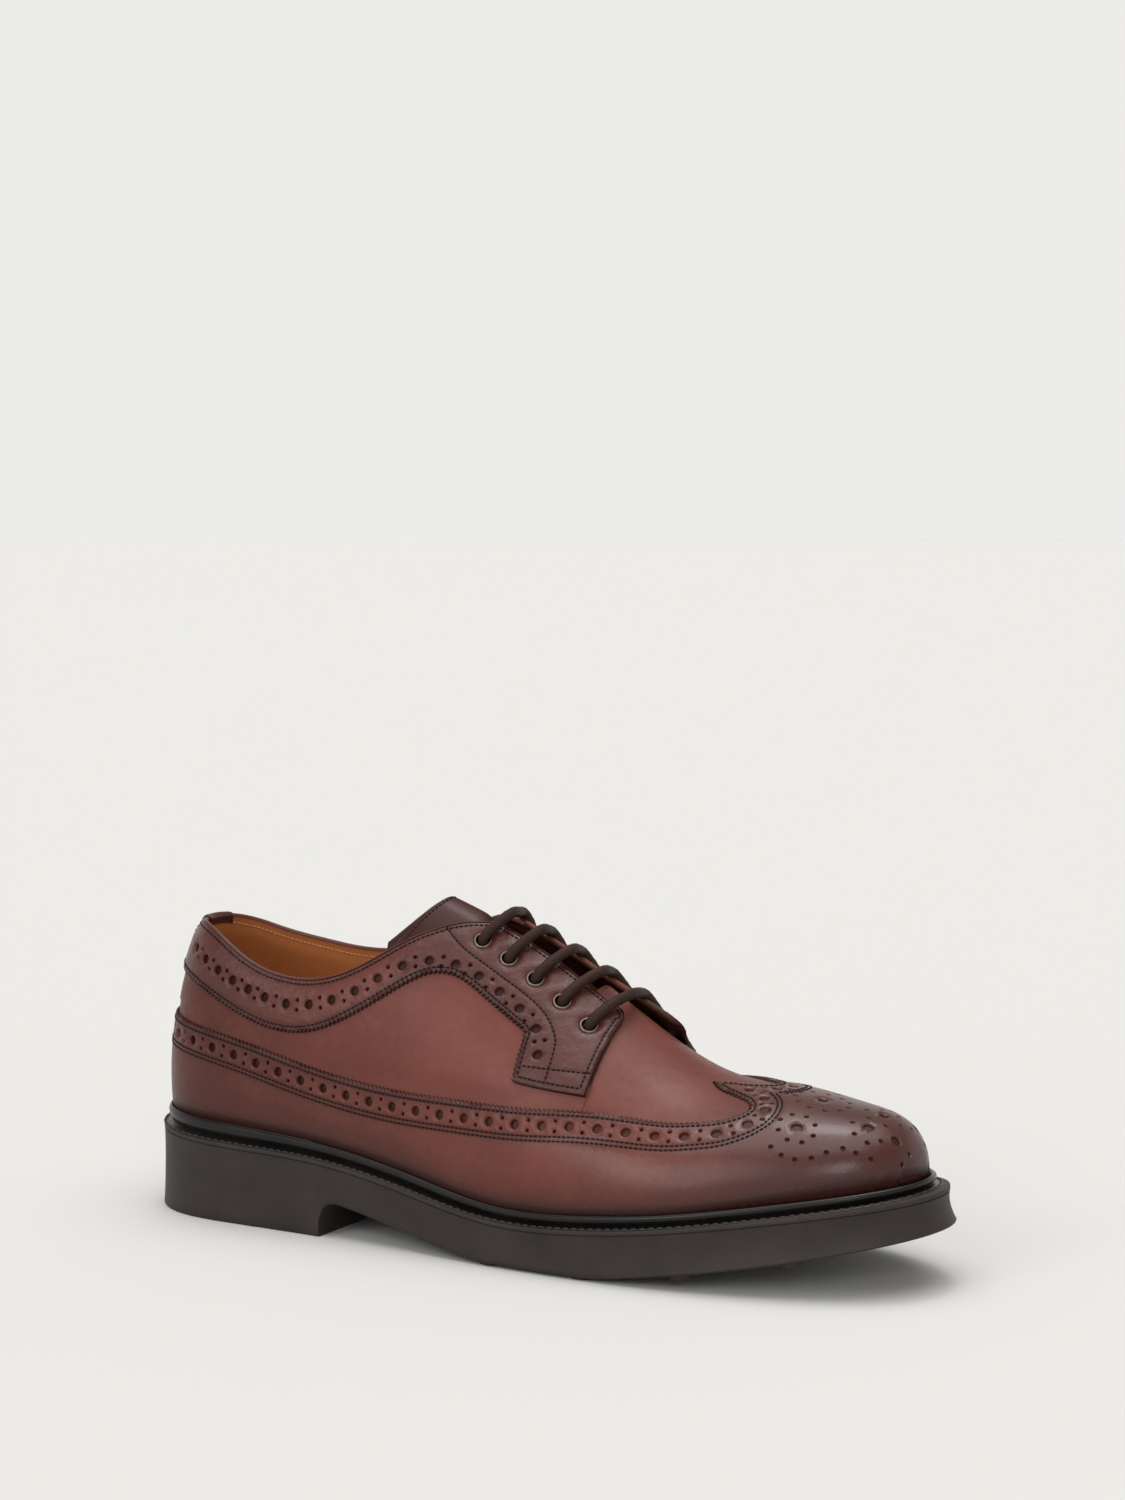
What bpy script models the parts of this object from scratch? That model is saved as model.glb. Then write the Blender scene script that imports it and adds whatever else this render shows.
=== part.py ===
"""Long-wing derby brogue, a right shoe, as separate closed solids.

Metres, +Z up. The toe points along +X and the outer (lateral) side faces -Y.
Every piece of the upper is worked out from one last: a row of sections between
the feather line, where the upper meets the welt, and the ridge over the foot.
Inside the script lengths are millimetres along the last, measured from its heel.
"""
import math

import bmesh
import bpy
import numpy as np
from mathutils import Vector

MM = 0.001

# Driving sizes of the last
LAST_LENGTH = 294.0
BALL_WIDTH = 90.0
INSTEP_HEIGHT = 103.0
HEEL_HEIGHT = 37.0
HEEL_RADIUS = 33.0
TOE_RADIUS = 23.0
TOE_PROFILE_RADIUS = 26.0
HEEL_FAN = 44.0

# Leather, rubber and clearances
CLEARANCE = 0.3
VAMP_WALL = 1.6
QUARTER_STEP = 1.0
OVERLAY = 1.1
TONGUE_THICKNESS = 2.0
INSOLE_THICKNESS = 3.0
SKIRT_TUCK = 1.0

LATERAL = -1.0
MEDIAL = 1.0


def table(names, rows):
    """Columns by name from a short table with a row for each section."""
    return {name: np.array(values, float) for name, values in zip(names, zip(*rows))}


# Sections of the last: place along it, half widths over ball width, feather height over
# heel height, ridge height over instep height, ridge's sideways shift, then the shape of
# the side: bulge, height where it is fullest, and breadth of its top
LAST = table(
    ("along", "lateral", "medial", "feather", "ridge", "shift", "bulge", "rise", "breadth"),
    (
        (0.000, 0.000, 0.000, 1.000, 1.437, 0.0, 0.13, 0.50, 0.34),
        (0.136, 0.356, 0.344, 0.946, 1.408, 0.0, 0.12, 0.50, 0.34),
        (0.272, 0.378, 0.333, 0.873, 1.301, 1.0, 0.11, 0.48, 0.36),
        (0.408, 0.422, 0.322, 0.711, 1.165, 3.0, 0.10, 0.45, 0.38),
        (0.527, 0.472, 0.389, 0.549, 1.000, 4.0, 0.08, 0.45, 0.40),
        (0.646, 0.494, 0.478, 0.568, 0.767, 4.0, 0.07, 0.48, 0.45),
        (0.748, 0.478, 0.500, 0.657, 0.617, 3.0, 0.06, 0.52, 0.52),
        (0.850, 0.408, 0.432, 0.784, 0.587, 2.5, 0.06, 0.58, 0.60),
        (0.935, 0.296, 0.306, 0.892, 0.549, 2.0, 0.05, 0.60, 0.62),
        (1.000, 0.000, 0.000, 0.973, 0.000, 2.0, 0.05, 0.60, 0.62),
    ),
)

# Sections of the sole: top of its lip, underside before the heel is added, how far
# the lip stands out from the feather line, and the flare of the wall at its foot
SOLE = table(
    ("along", "lip", "underside", "overhang", "flare"),
    (
        (0.000, 31.0, 16.0, 4.6, 0.0),
        (0.136, 29.0, 14.5, 5.0, 0.0),
        (0.272, 27.5, 13.5, 5.0, 0.0),
        (0.408, 21.8, 6.5, 5.0, 0.0),
        (0.527, 16.3, 0.6, 5.0, 0.0),
        (0.646, 17.0, 0.6, 5.0, 0.0),
        (0.748, 20.5, 4.5, 5.0, 0.3),
        (0.850, 25.3, 10.0, 5.5, 1.0),
        (0.935, 29.5, 15.5, 6.5, 1.7),
        (1.000, 33.0, 20.5, 7.5, 2.2),
    ),
)
HEEL_BREAST = 82.0
BREAST_FILLET = 8.0
HEEL_PROUD = 0.8
STUD_HEIGHT = 1.0
STUD_RADIUS = 4.2
STUD_SIDES = 10
STUD_TAPER = 0.4
STUD_LENGTH = 4.0
STUD_FIRST = 154.0
STUD_PITCH = 36.0
LIP_DEPTH = 2.4
WALL_INSET = 1.0
WALL_HOLLOW = 1.4
FOOT_CHAMFER = 0.8

# Section of the storm welt: distance out from the feather line, level from the sole to the bead's top
WELT = table(
    ("across", "level"),
    (
        (0.1, 0.00),
        (0.35, 0.72),
        (1.0, 0.95),
        (2.0, 1.00),
        (2.9, 0.80),
        (3.3, 0.40),
        (4.3, 0.30),
        (4.3, 0.00),
    ),
)

# Heights of the pattern's lines up the side, as shares of the girth from feather to ridge
TOPLINE = table(
    ("x", "lateral", "medial"),
    (
        (0.0, 0.572, 0.572),
        (10.0, 0.577, 0.552),
        (20.0, 0.566, 0.533),
        (40.0, 0.512, 0.524),
        (60.0, 0.492, 0.536),
        (75.0, 0.520, 0.570),
        (90.0, 0.602, 0.633),
        (105.0, 0.730, 0.740),
        (120.0, 0.840, 0.840),
        (133.0, 0.905, 0.905),
    ),
)
# How far the inner side's pattern lies forward of the outer side's, round the throat
ADVANCE = table(
    ("x", "forward"),
    (
        (90.0, 0.0),
        (110.0, 1.8),
        (132.0, 5.5),
        (160.0, 9.5),
        (185.0, 12.0),
        (205.0, 9.5),
        (225.0, 3.5),
        (245.0, 0.0),
    ),
)
ADVANCE_REACH = 20.0
ADVANCE_FOOT = 0.35
BAND_EDGE = table(
    ("x", "share"),
    (
        (0.0, 0.430),
        (20.0, 0.398),
        (40.0, 0.349),
        (58.0, 0.324),
        (74.0, 0.348),
        (90.0, 0.433),
        (105.0, 0.552),
        (118.0, 0.651),
        (128.0, 0.674),
        (140.0, 0.650),
        (157.6, 0.605),
    ),
)
# The wing's upper edge: height over the feather line in millimetres of leather
WING_EDGE = table(
    ("x", "height"),
    (
        (0.0, 36.0),
        (20.0, 34.0),
        (45.0, 31.2),
        (65.0, 28.0),
        (85.0, 26.1),
        (110.0, 27.0),
        (135.0, 31.2),
        (160.0, 34.5),
        (185.0, 35.5),
        (205.0, 34.0),
        (225.5, 34.0),
    ),
)
# The wing's curl at the toe, from the side edge to its peak on the ridge
WING_CURL = table(
    ("x", "share"),
    ((225.5, 0.495), (234.0, 0.555), (237.6, 0.650), (232.4, 0.760), (224.0, 0.890), (218.0, 1.000)),
)

# Columns of the pattern: where each stands on the feather line and where it ends on top
STRIP_EDGE = 1.40
FACING_BACK = 1.52
FACING_CORNER = 133.0
TAB_BACK = 157.6
SLOT_END = 176.5
QUARTER_FRONT = 185.0
STEP_WIDTH = 0.7
BACK_COLUMNS = (0.0, STRIP_EDGE, FACING_BACK, 8, 17, 28, 40, 52, 64, 76, 87, 97, 107, 117, 126)
FACING_COLUMNS = (FACING_CORNER, 140.0, 148.0, TAB_BACK, 164.0, 170.0, SLOT_END, QUARTER_FRONT)
VAMP_FEET = (QUARTER_FRONT + STEP_WIDTH, 193.0, 201.0, 209.0, 217.5, 225.5)
VAMP_TOPS = (QUARTER_FRONT + STEP_WIDTH, 191.0, 196.5, 202.0, 207.5, 218.0)
TAB_HEIGHT = 42.4
FACING_GAP = 9.5
TAB_CORNER_BACK = 2.6
TAB_CORNER_DOWN = 2.0
EDGE_ROW = 1.2

# Rows of the pattern: below the wing's edge, and above it up to the ridge
WING_ROWS = 6
ROW_STEP, ROW_TAB, ROW_BAND, ROW_TOP, ROW_LIP, ROW_RIDGE = 1, 2, 3, 7, 8, 9
WING_ROW_POWER = 1.15

# Eyelets and lace
EYELET_COUNT = 5
EYELET_FIRST_X, EYELET_LAST_X = 132.0, 177.0
EYELET_FIRST_DROP, EYELET_LAST_DROP = 18.2, 22.6
EYELET_OUTER, EYELET_INNER, EYELET_HEIGHT = 3.4, 2.2, 0.7
EYELET_SIDES = 12
LACE_RADIUS = 1.9
LACE_POINTS = 11

# Tongue: its own columns from the vamp to its free end, and half width there
TONGUE = table(
    ("x", "half"),
    (
        (184.0, 17.0),
        (176.5, 19.0),
        (167.0, 20.0),
        (157.6, 21.0),
        (148.0, 22.5),
        (140.0, 24.0),
        (133.0, 26.0),
        (126.0, 28.0),
        (119.0, 29.5),
        (111.0, 31.0),
        (103.0, 32.5),
        (95.0, 33.5),
    ),
)
TONGUE_STRIPS = 8
TONGUE_ARCH = 15.0
TONGUE_ARCH_POWER = 1.5
TONGUE_ARCH_START = 133.0


def natural_spline(xs, ys, x):
    """Smooth curve through a table's points with free ends."""
    xs, ys, x = (np.asarray(a, float) for a in (xs, ys, x))
    count = len(xs)
    step = np.diff(xs)
    slope = np.diff(ys) / step
    matrix = np.eye(count)
    right = np.zeros(count)
    for i in range(1, count - 1):
        matrix[i, i - 1 : i + 2] = step[i - 1], 2 * (step[i - 1] + step[i]), step[i]
        right[i] = 3 * (slope[i] - slope[i - 1])
    bend = np.linalg.solve(matrix, right)
    k = np.clip(np.searchsorted(xs, x) - 1, 0, count - 2)
    cubic = (bend[k + 1] - bend[k]) / (3 * step[k])
    linear = slope[k] - step[k] * (2 * bend[k] + bend[k + 1]) / 3
    u = x - xs[k]
    return ys[k] + u * (linear + u * (bend[k] + u * cubic))


LAST_X = LAST["along"] * LAST_LENGTH
SOLE_X = SOLE["along"] * LAST_LENGTH


def round_ends(x):
    """1 at mid length, falling as an ellipse to 0 at heel and toe."""
    return 2 * np.sqrt(np.clip(x * (LAST_LENGTH - x), 0, None)) / LAST_LENGTH


def round_toe(x):
    """1 at the heel, falling as an ellipse to 0 at the toe."""
    return np.sqrt(np.clip(1 - (x / LAST_LENGTH) ** 2, 0, None))


def half_width(name, x):
    """Half width of the feather line on one side."""
    inner = LAST[name][1:-1] * BALL_WIDTH / round_ends(LAST_X[1:-1])
    ends = np.sqrt(np.array([HEEL_RADIUS, TOE_RADIUS]) * LAST_LENGTH / 2)
    return natural_spline(LAST_X, [ends[0], *inner, ends[1]], x) * round_ends(x)


def feather_height(x):
    return natural_spline(LAST_X, LAST["feather"] * HEEL_HEIGHT, x)


def ridge_height(x):
    rise = LAST["ridge"] * INSTEP_HEIGHT - LAST["feather"] * HEEL_HEIGHT
    inner = rise[:-1] / round_toe(LAST_X[:-1])
    toe = math.sqrt(TOE_PROFILE_RADIUS * LAST_LENGTH)
    return feather_height(x) + natural_spline(LAST_X, [*inner, toe], x) * round_toe(x)


def station_at(x):
    """Station 0 to 1 from heel to toe, close together at both round ends."""
    return np.arccos(np.clip(1 - 2 * np.asarray(x, float) / LAST_LENGTH, -1, 1)) / math.pi


def feather_point(station, side):
    x = LAST_LENGTH * (1 - np.cos(math.pi * station)) / 2
    half = np.where(side < 0, half_width("lateral", x), half_width("medial", x))
    return np.stack([x, side * half, feather_height(x)], -1)


def ridge_point(station):
    foot = LAST_LENGTH * (1 - np.cos(math.pi * station)) / 2
    x = np.minimum(foot + HEEL_FAN * np.exp(-foot / HEEL_FAN), LAST_LENGTH)
    return np.stack([x, natural_spline(LAST_X, LAST["shift"], x), ridge_height(x)], -1)


def last_point(station, climb, side):
    """Point of a section: climb 0 on the feather line, 1 on the ridge."""
    station, climb, side = np.broadcast_arrays(*(np.asarray(a, float) for a in (station, climb, side)))
    foot = feather_point(station, side)
    top = ridge_point(station)
    shape = [natural_spline(LAST_X, LAST[name], foot[..., 0]) for name in ("bulge", "rise", "breadth")]
    bulge, rise, breadth = shape
    a = (1 - climb) ** 3
    b = 3 * climb * (1 - climb) ** 2
    c = 3 * climb**2 * (1 - climb)
    out = a + b * (1 + bulge) + c * breadth
    up = b * rise + c + climb**3
    plan = top[..., :2] + (foot[..., :2] - top[..., :2]) * out[..., None]
    height = foot[..., 2] + (top[..., 2] - foot[..., 2]) * up
    return np.concatenate([plan, height[..., None]], -1)


def section_lengths(station, side):
    """Climb samples and the leather's length up to each of them."""
    climb = np.linspace(0, 1, 61)
    points = last_point(station, climb, side)
    steps = np.linalg.norm(np.diff(points, axis=0), axis=1)
    return climb, np.concatenate([[0.0], np.cumsum(steps)])


def climb_at(station, share, side):
    climb, length = section_lengths(station, side)
    return float(np.interp(share * length[-1], length, climb))


def girth(station, side):
    return section_lengths(station, side)[1][-1]


def surface(station, share, side):
    """Point of the last at a share of the girth, and the direction out of it."""
    climb = climb_at(station, share, side)
    point = last_point(station, climb, side)
    small = 0.002
    s = min(max(station, 2 * small), 1 - 3 * small)
    c = min(max(climb, small), 1 - small)
    along = last_point(s + small, c, side) - last_point(s - small, c, side)
    up = last_point(s, c + small, side) - last_point(s, c - small, side)
    normal = np.cross(along, up) * -side
    return point, normal / np.linalg.norm(normal)


def smooth(t):
    return t * t * (3 - 2 * t)


def top_share(x, station, side):
    """Share of the girth at the topline, or at the facing's edge in front of its corner."""
    facing = 1 - FACING_GAP / girth(station, side)
    if x >= FACING_CORNER:
        return facing
    line = TOPLINE["lateral" if side == LATERAL else "medial"]
    return min(float(natural_spline(TOPLINE["x"], line, x)), facing)


def wing_share(x, station, side):
    return float(natural_spline(WING_EDGE["x"], WING_EDGE["height"], x)) / girth(station, side)


def advanced(place, side):
    """A pattern's place as (station, share), moved forward on the inner side except at ridge and foot."""
    station, share = place
    x = LAST_LENGTH * (1 - math.cos(math.pi * station)) / 2
    if side == LATERAL or not ADVANCE["x"][0] < x < ADVANCE["x"][-1]:
        return place
    below = min((1 - share) * girth(station, side) / ADVANCE_REACH, 1)
    level = (1 - (1 - below) ** 2) * smooth(min(share / ADVANCE_FOOT, 1))
    x += float(natural_spline(ADVANCE["x"], ADVANCE["forward"], x)) * level
    return float(station_at(x)), share


def curl_points(count):
    """Points along the wing's curl as (station, share), evenly spaced."""
    knots = np.arange(len(WING_CURL["x"]))
    fine = np.linspace(0, knots[-1], 121)
    x = natural_spline(knots, WING_CURL["x"], fine)
    share = natural_spline(knots, WING_CURL["share"], fine)
    run = np.hypot(np.diff(x), np.diff(share) * 60.0)
    length = np.concatenate([[0.0], np.cumsum(run)])
    at = np.linspace(0, length[-1], count)
    return station_at(np.interp(at, length, x)), np.minimum(np.interp(at, length, share), 1.0)


def quarter_column(x, side):
    """Rows of a column behind the quarter's front edge, as (station, share)."""
    station = float(station_at(x))
    whole = girth(station, side)
    edge = wing_share(x, station, side)
    top = top_share(x, station, side)
    step = edge + EDGE_ROW / whole
    if x < TAB_BACK:
        band = float(natural_spline(BAND_EDGE["x"], BAND_EDGE["share"], x))
        tab = (step + band) / 2
    else:
        tab = TAB_HEIGHT / whole
        band = float(BAND_EDGE["share"][-1]) if x == TAB_BACK else tab + (top - tab) * 0.35
    middle = [band + (top - band) * k / (ROW_TOP - ROW_BAND) for k in range(ROW_TOP - ROW_BAND)]
    lip = top + STEP_WIDTH / whole
    return [(station, share) for share in (edge, step, tab, *middle, top, lip, 1.0)]


def tab_corner(rows, side):
    """The tab's front corner is rounded: its top rows step back."""
    shaped = list(rows)
    for row, back, down in ((ROW_TOP - 1, 0.3, 0.3), (ROW_TOP, 1.0, 1.0), (ROW_LIP, 0.8, 0.8)):
        station, share = rows[row]
        x = LAST_LENGTH * (1 - math.cos(math.pi * station)) / 2 - TAB_CORNER_BACK * back
        station = float(station_at(x))
        shaped[row] = (station, share - TAB_CORNER_DOWN * down / girth(station, side))
    return shaped


def vamp_column(foot_x, top_x, spread, side):
    """Rows of a column in front of the quarter, evening out towards the wing's curl."""
    foot, top = float(station_at(foot_x)), float(station_at(top_x))
    edge = wing_share(foot_x, foot, side)
    behind = tab_corner(quarter_column(QUARTER_FRONT, side), side)
    first, last = behind[0][1], behind[-1][1]
    rows = []
    for row in range(ROW_RIDGE + 1):
        close = (behind[row][1] - first) / (last - first)
        level = close + (row / ROW_RIDGE - close) * spread
        rows.append((foot + (top - foot) * level, edge + (1 - edge) * level))
    return rows


def upper_columns(side):
    """Columns of the pattern above the wing's edge, heel to toe."""
    columns = [quarter_column(x, side) for x in BACK_COLUMNS + FACING_COLUMNS]
    columns[-1] = tab_corner(columns[-1], side)
    count = len(VAMP_FEET)
    for k in range(count - 1):
        columns.append(vamp_column(VAMP_FEET[k], VAMP_TOPS[k], smooth(k / (count - 1)), side))
    shift = STEP_WIDTH * math.pi / LAST_LENGTH
    front = columns[len(BACK_COLUMNS) + len(FACING_COLUMNS) - 1]
    step = len(BACK_COLUMNS) + len(FACING_COLUMNS)
    for row in (ROW_TOP - 1, ROW_TOP, ROW_LIP):
        columns[step][row] = (front[row][0] + shift * 0.45, front[row][1])
    stations, shares = curl_points(ROW_RIDGE + 1)
    columns.append([(float(s), float(g)) for s, g in zip(stations, shares)])
    return columns


def wing_columns(side):
    """Columns of the pattern below the wing's edge, heel to toe, then round its curl."""
    above = upper_columns(side)
    levels = [(j / WING_ROWS) ** WING_ROW_POWER for j in range(WING_ROWS + 1)]
    columns = []
    for column in above:
        station, edge = column[0]
        columns.append([(station, edge * level) for level in levels])
    feet = np.linspace(station_at(VAMP_FEET[-1]), 1.0, ROW_RIDGE + 1)
    for k in range(1, ROW_RIDGE + 1):
        station, edge = above[-1][k]
        power = 1 - k / ROW_RIDGE
        path = []
        for level in levels:
            share = edge * level**power if level > 0 or power == 0 else 0.0
            path.append((float(feet[k] + (station - feet[k]) * level), share))
        columns.append(path)
    return columns


def pattern(side):
    """Columns of wing and upper on one side."""
    both = (wing_columns(side), upper_columns(side))
    return [[[advanced(place, side) for place in column] for column in columns] for columns in both]


PATTERN = {side: pattern(side) for side in (LATERAL, MEDIAL)}
SLOT_COLUMN = len(BACK_COLUMNS) + FACING_COLUMNS.index(SLOT_END)
TAB_COLUMN = len(BACK_COLUMNS) + FACING_COLUMNS.index(TAB_BACK)
FRONT_COLUMN = len(BACK_COLUMNS) + len(FACING_COLUMNS) - 1


def wing_cells():
    count = len(PATTERN[LATERAL][0])
    return [(side, 0, i, j) for side in (LATERAL, MEDIAL) for i in range(count - 1) for j in range(WING_ROWS)]


def upper_cells():
    """Cells above the wing's edge, with the throat's slot left open."""
    cells = []
    for side in (LATERAL, MEDIAL):
        for i in range(len(PATTERN[side][1]) - 1):
            last_row = ROW_RIDGE if i >= SLOT_COLUMN else ROW_TOP
            cells += [(side, 1, i, j) for j in range(last_row)]
    return cells


def facing_cells(side):
    """Collar band, eyestay and tab: one overlay on each quarter."""
    first = BACK_COLUMNS.index(FACING_BACK)
    cells = []
    for i in range(first, FRONT_COLUMN):
        low = ROW_TAB if i >= TAB_COLUMN else ROW_BAND
        cells += [(side, 1, i, j) for j in range(low, ROW_TOP)]
    return cells


def strip_cells():
    """Narrow strip over the back seam."""
    return [(side, 1, 0, j) for side in (LATERAL, MEDIAL) for j in range(ROW_STEP, ROW_TOP)]


def raised(patch, column, row):
    """How far the quarter's leather stands above the vamp's."""
    if patch == 0 or row < ROW_STEP or row > ROW_TOP or column > FRONT_COLUMN:
        return 0.0
    return QUARTER_STEP


def material(name, colour, roughness, metallic=0.0):
    made = bpy.data.materials.new(name)
    made.use_nodes = True
    shader = made.node_tree.nodes["Principled BSDF"]
    shader.inputs["Base Color"].default_value = (*colour, 1.0)
    shader.inputs["Roughness"].default_value = roughness
    shader.inputs["Metallic"].default_value = metallic
    return made


def add_object(name, points, faces, finish, parent):
    """One closed body from points in millimetres of the last."""
    mesh = bpy.data.meshes.new(name)
    mesh.from_pydata([Vector(p) * MM for p in points], [], faces)
    build = bmesh.new()
    build.from_mesh(mesh)
    bmesh.ops.recalc_face_normals(build, faces=build.faces)
    build.to_mesh(mesh)
    build.free()
    mesh.shade_smooth()
    mesh.set_sharp_from_angle(angle=math.radians(35))
    mesh.materials.append(finish)
    made = bpy.data.objects.new(name, mesh)
    bpy.context.scene.collection.objects.link(made)
    made.parent = parent
    return made


class Sheet:
    """Leather cut from the pattern's cells, with an outer and an inner face."""

    def __init__(self, outer, inner, follow=1.0):
        self.outer, self.inner = outer, inner
        self.follow = follow
        self.index = {}
        self.points = []
        self.normals = []
        self.lift = []
        self.triangles = []
        self.skirt = {}

    def corner(self, side, patch, i, j):
        station, share = PATTERN[side][patch][i][j]
        point, normal = surface(station, share, side)
        key = tuple(np.round(point, 2))
        if key not in self.index:
            self.index[key] = len(self.points)
            self.points.append(point)
            self.normals.append(normal)
            self.lift.append(raised(patch, i, j))
            if patch == 0 and j == 0:
                self.skirt[self.index[key]] = (station, side)
        else:
            self.normals[self.index[key]] = self.normals[self.index[key]] + normal
        return self.index[key]

    def add(self, cells):
        for side, patch, i, j in cells:
            a, b, c, d = (self.corner(side, patch, i + u, j + v) for u, v in ((0, 0), (1, 0), (1, 1), (0, 1)))
            for triangle in ((a, b, c), (a, c, d)):
                if len(set(triangle)) == 3:
                    self.triangles.append(triangle if side < 0 else triangle[::-1])
        return self

    def rim(self):
        """Edges with a face on one side only, in the direction of that face."""
        edges = {(t[k], t[(k + 1) % 3]) for t in self.triangles for k in range(3)}
        return [e for e in edges if (e[1], e[0]) not in edges]

    def solid(self, skirt=False):
        base = np.array(self.points)
        normal = np.array(self.normals)
        normal /= np.linalg.norm(normal, axis=1, keepdims=True)
        lift = np.array(self.lift)[:, None]
        count = len(base)
        points = [*(base + normal * (lift + self.outer))]
        points += [*(base + normal * (lift * self.follow + self.inner))]
        faces = list(self.triangles)
        faces += [tuple(k + count for k in t[::-1]) for t in self.triangles]
        low = {}
        if skirt:
            for k, (station, side) in self.skirt.items():
                low[k] = len(points)
                points += skirt_points(station, side)
        for a, b in self.rim():
            if a in low and b in low:
                faces += [(a, low[a], low[b], b), (low[a], low[a] + 1, low[b] + 1, low[b])]
                faces += [(low[a] + 1, a + count, b + count, low[b] + 1)]
            else:
                faces.append((a, a + count, b + count, b))
        return points, faces


def outline(stations):
    """The feather line as a closed loop, outer side then inner side, with its outward directions."""
    loop = [feather_point(s, LATERAL) for s in stations]
    loop += [feather_point(s, MEDIAL) for s in stations[-2:0:-1]]
    loop = np.array(loop)
    ahead = np.roll(loop, -1, 0)[:, :2] - np.roll(loop, 1, 0)[:, :2]
    out = np.stack([ahead[:, 1], -ahead[:, 0]], -1)
    return loop, out / np.linalg.norm(out, axis=1, keepdims=True)


def lip_height(x):
    return natural_spline(SOLE_X, SOLE["lip"], x)


def underside(x):
    """Bottom of the forepart and waist: rounded into the breast, and flat under the ball."""
    near = np.clip((x - HEEL_BREAST) / BREAST_FILLET, 0, 1)
    fillet = BREAST_FILLET * (1 - np.sqrt(1 - (1 - near) ** 2))
    return np.maximum(natural_spline(SOLE_X, SOLE["underside"], x) - fillet, STUD_HEIGHT)


def skirt_points(station, side):
    """Foot of the upper's wall, tucked in below the feather line down to the sole."""
    point = feather_point(station, side)
    near = np.clip(np.array([station - 0.004, station + 0.004]), 0.0, 1.0)
    ends = [feather_point(s, side)[:2] for s in near]
    if station in (0.0, 1.0):
        out = np.array([1.0 if station else -1.0, 0.0])
    else:
        ahead = ends[1] - ends[0]
        out = np.array([ahead[1], -ahead[0]]) * -side
        out /= np.linalg.norm(out)
    level = lip_height(point[0]) + CLEARANCE
    return [[*(point[:2] - out * inset), level] for inset in (SKIRT_TUCK, SKIRT_TUCK + VAMP_WALL)]


def ladder(ring, flip):
    """Faces that close a ring of points, joining its two sides rung by rung."""
    half = len(ring) // 2
    faces = [(ring[0], ring[1], ring[-1])]
    for k in range(1, half - 1):
        faces.append((ring[k], ring[k + 1], ring[-k - 1], ring[-k]))
    faces.append((ring[half - 1], ring[half], ring[half + 1]))
    return [f[::-1] for f in faces] if flip else faces


def rings_solid(rings, closed=False):
    """Faces between rings of points, with both ends closed, or the last ring joined to the first."""
    count = len(rings[0])
    points = np.concatenate(rings)
    ids = [list(range(k * count, (k + 1) * count)) for k in range(len(rings))]
    pairs = list(zip(ids, ids[1:]))
    faces = []
    if closed:
        pairs.append((ids[-1], ids[0]))
    else:
        faces += ladder(ids[0], False) + ladder(ids[-1], True)
    for upper, lower in pairs:
        for k in range(count):
            n = (k + 1) % count
            faces += [(upper[k], lower[k], lower[n]), (upper[k], lower[n], upper[n])]
    return points, faces


def sole_stations():
    """Stations round the sole, with a close pair at the heel's breast."""
    breast = [float(station_at(HEEL_BREAST)), float(station_at(HEEL_BREAST + STEP_WIDTH))]
    fillet = [float(station_at(HEEL_BREAST + BREAST_FILLET * share)) for share in (0.3, 0.6)]
    heel = list(np.linspace(0, breast[0], 12))
    front = list(np.linspace(station_at(HEEL_BREAST + BREAST_FILLET), 1, 22))
    return heel + breast[1:] + fillet + front


def make_outsole(finish, parent):
    loop, out = outline(sole_stations())
    x = loop[:, 0]
    heel = x <= HEEL_BREAST + 0.1
    lip = lip_height(x)
    foot = np.where(heel, 0.0, underside(x))
    overhang = natural_spline(SOLE_X, SOLE["overhang"], x)
    flare = natural_spline(SOLE_X, SOLE["flare"], x) + np.where(heel, HEEL_PROUD, 0.0)
    middle = (lip + foot) / 2

    def ring(extra, height):
        return np.column_stack([loop[:, :2] + out * (overhang + extra)[:, None], height])

    none = np.zeros_like(x)
    rings = [
        ring(none, lip),
        ring(none, lip - LIP_DEPTH),
        ring(none - WALL_INSET, lip - LIP_DEPTH - WALL_INSET),
        ring(flare * 0.3 - WALL_HOLLOW, middle),
        ring(flare, foot + FOOT_CHAMFER),
        ring(flare - FOOT_CHAMFER, foot),
    ]
    points, faces = rings_solid(rings)
    return add_object("outsole", points, faces, finish, parent)


def stud_places():
    """Forefoot studs in rows of three and two, by place along and share across the sole."""
    places = []
    for row in range(4):
        places += [(STUD_FIRST + STUD_PITCH * row, across) for across in (-0.84, 0.0, 0.84)]
    for row in range(3):
        places += [(STUD_FIRST + STUD_PITCH * (row + 0.5), across) for across in (-0.42, 0.42)]
    return places


def add_studs(outsole, finish, parent):
    """Low round studs under the forefoot, joined to the sole."""
    build = bmesh.new()
    for x, across in stud_places():
        side = "lateral" if across < 0 else "medial"
        y = across * float(half_width(side, np.array(x)))
        level, ahead = float(underside(x)), float(underside(x + 1.0))
        tilt = math.atan(ahead - level)
        drop = Vector((math.sin(tilt), 0.0, -math.cos(tilt)))
        centre = Vector((x, y, level))
        made = bmesh.ops.create_cone(
            build,
            cap_ends=True,
            segments=STUD_SIDES,
            radius1=STUD_RADIUS - STUD_TAPER,
            radius2=STUD_RADIUS,
            depth=STUD_LENGTH,
        )
        turn = Vector((0, 0, -1)).rotation_difference(drop).to_matrix()
        for vertex in made["verts"]:
            vertex.co = (turn @ vertex.co + centre + drop * (STUD_HEIGHT - STUD_LENGTH / 2)) * MM
    mesh = bpy.data.meshes.new("forefoot_studs")
    build.to_mesh(mesh)
    build.free()
    mesh.materials.append(finish)
    studs = bpy.data.objects.new("forefoot_studs", mesh)
    bpy.context.scene.collection.objects.link(studs)
    studs.parent = parent
    studs.hide_render = True
    studs.display_type = "WIRE"
    join = outsole.modifiers.new("studs", "BOOLEAN")
    join.operation = "UNION"
    join.solver = "EXACT"
    join.object = studs


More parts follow.
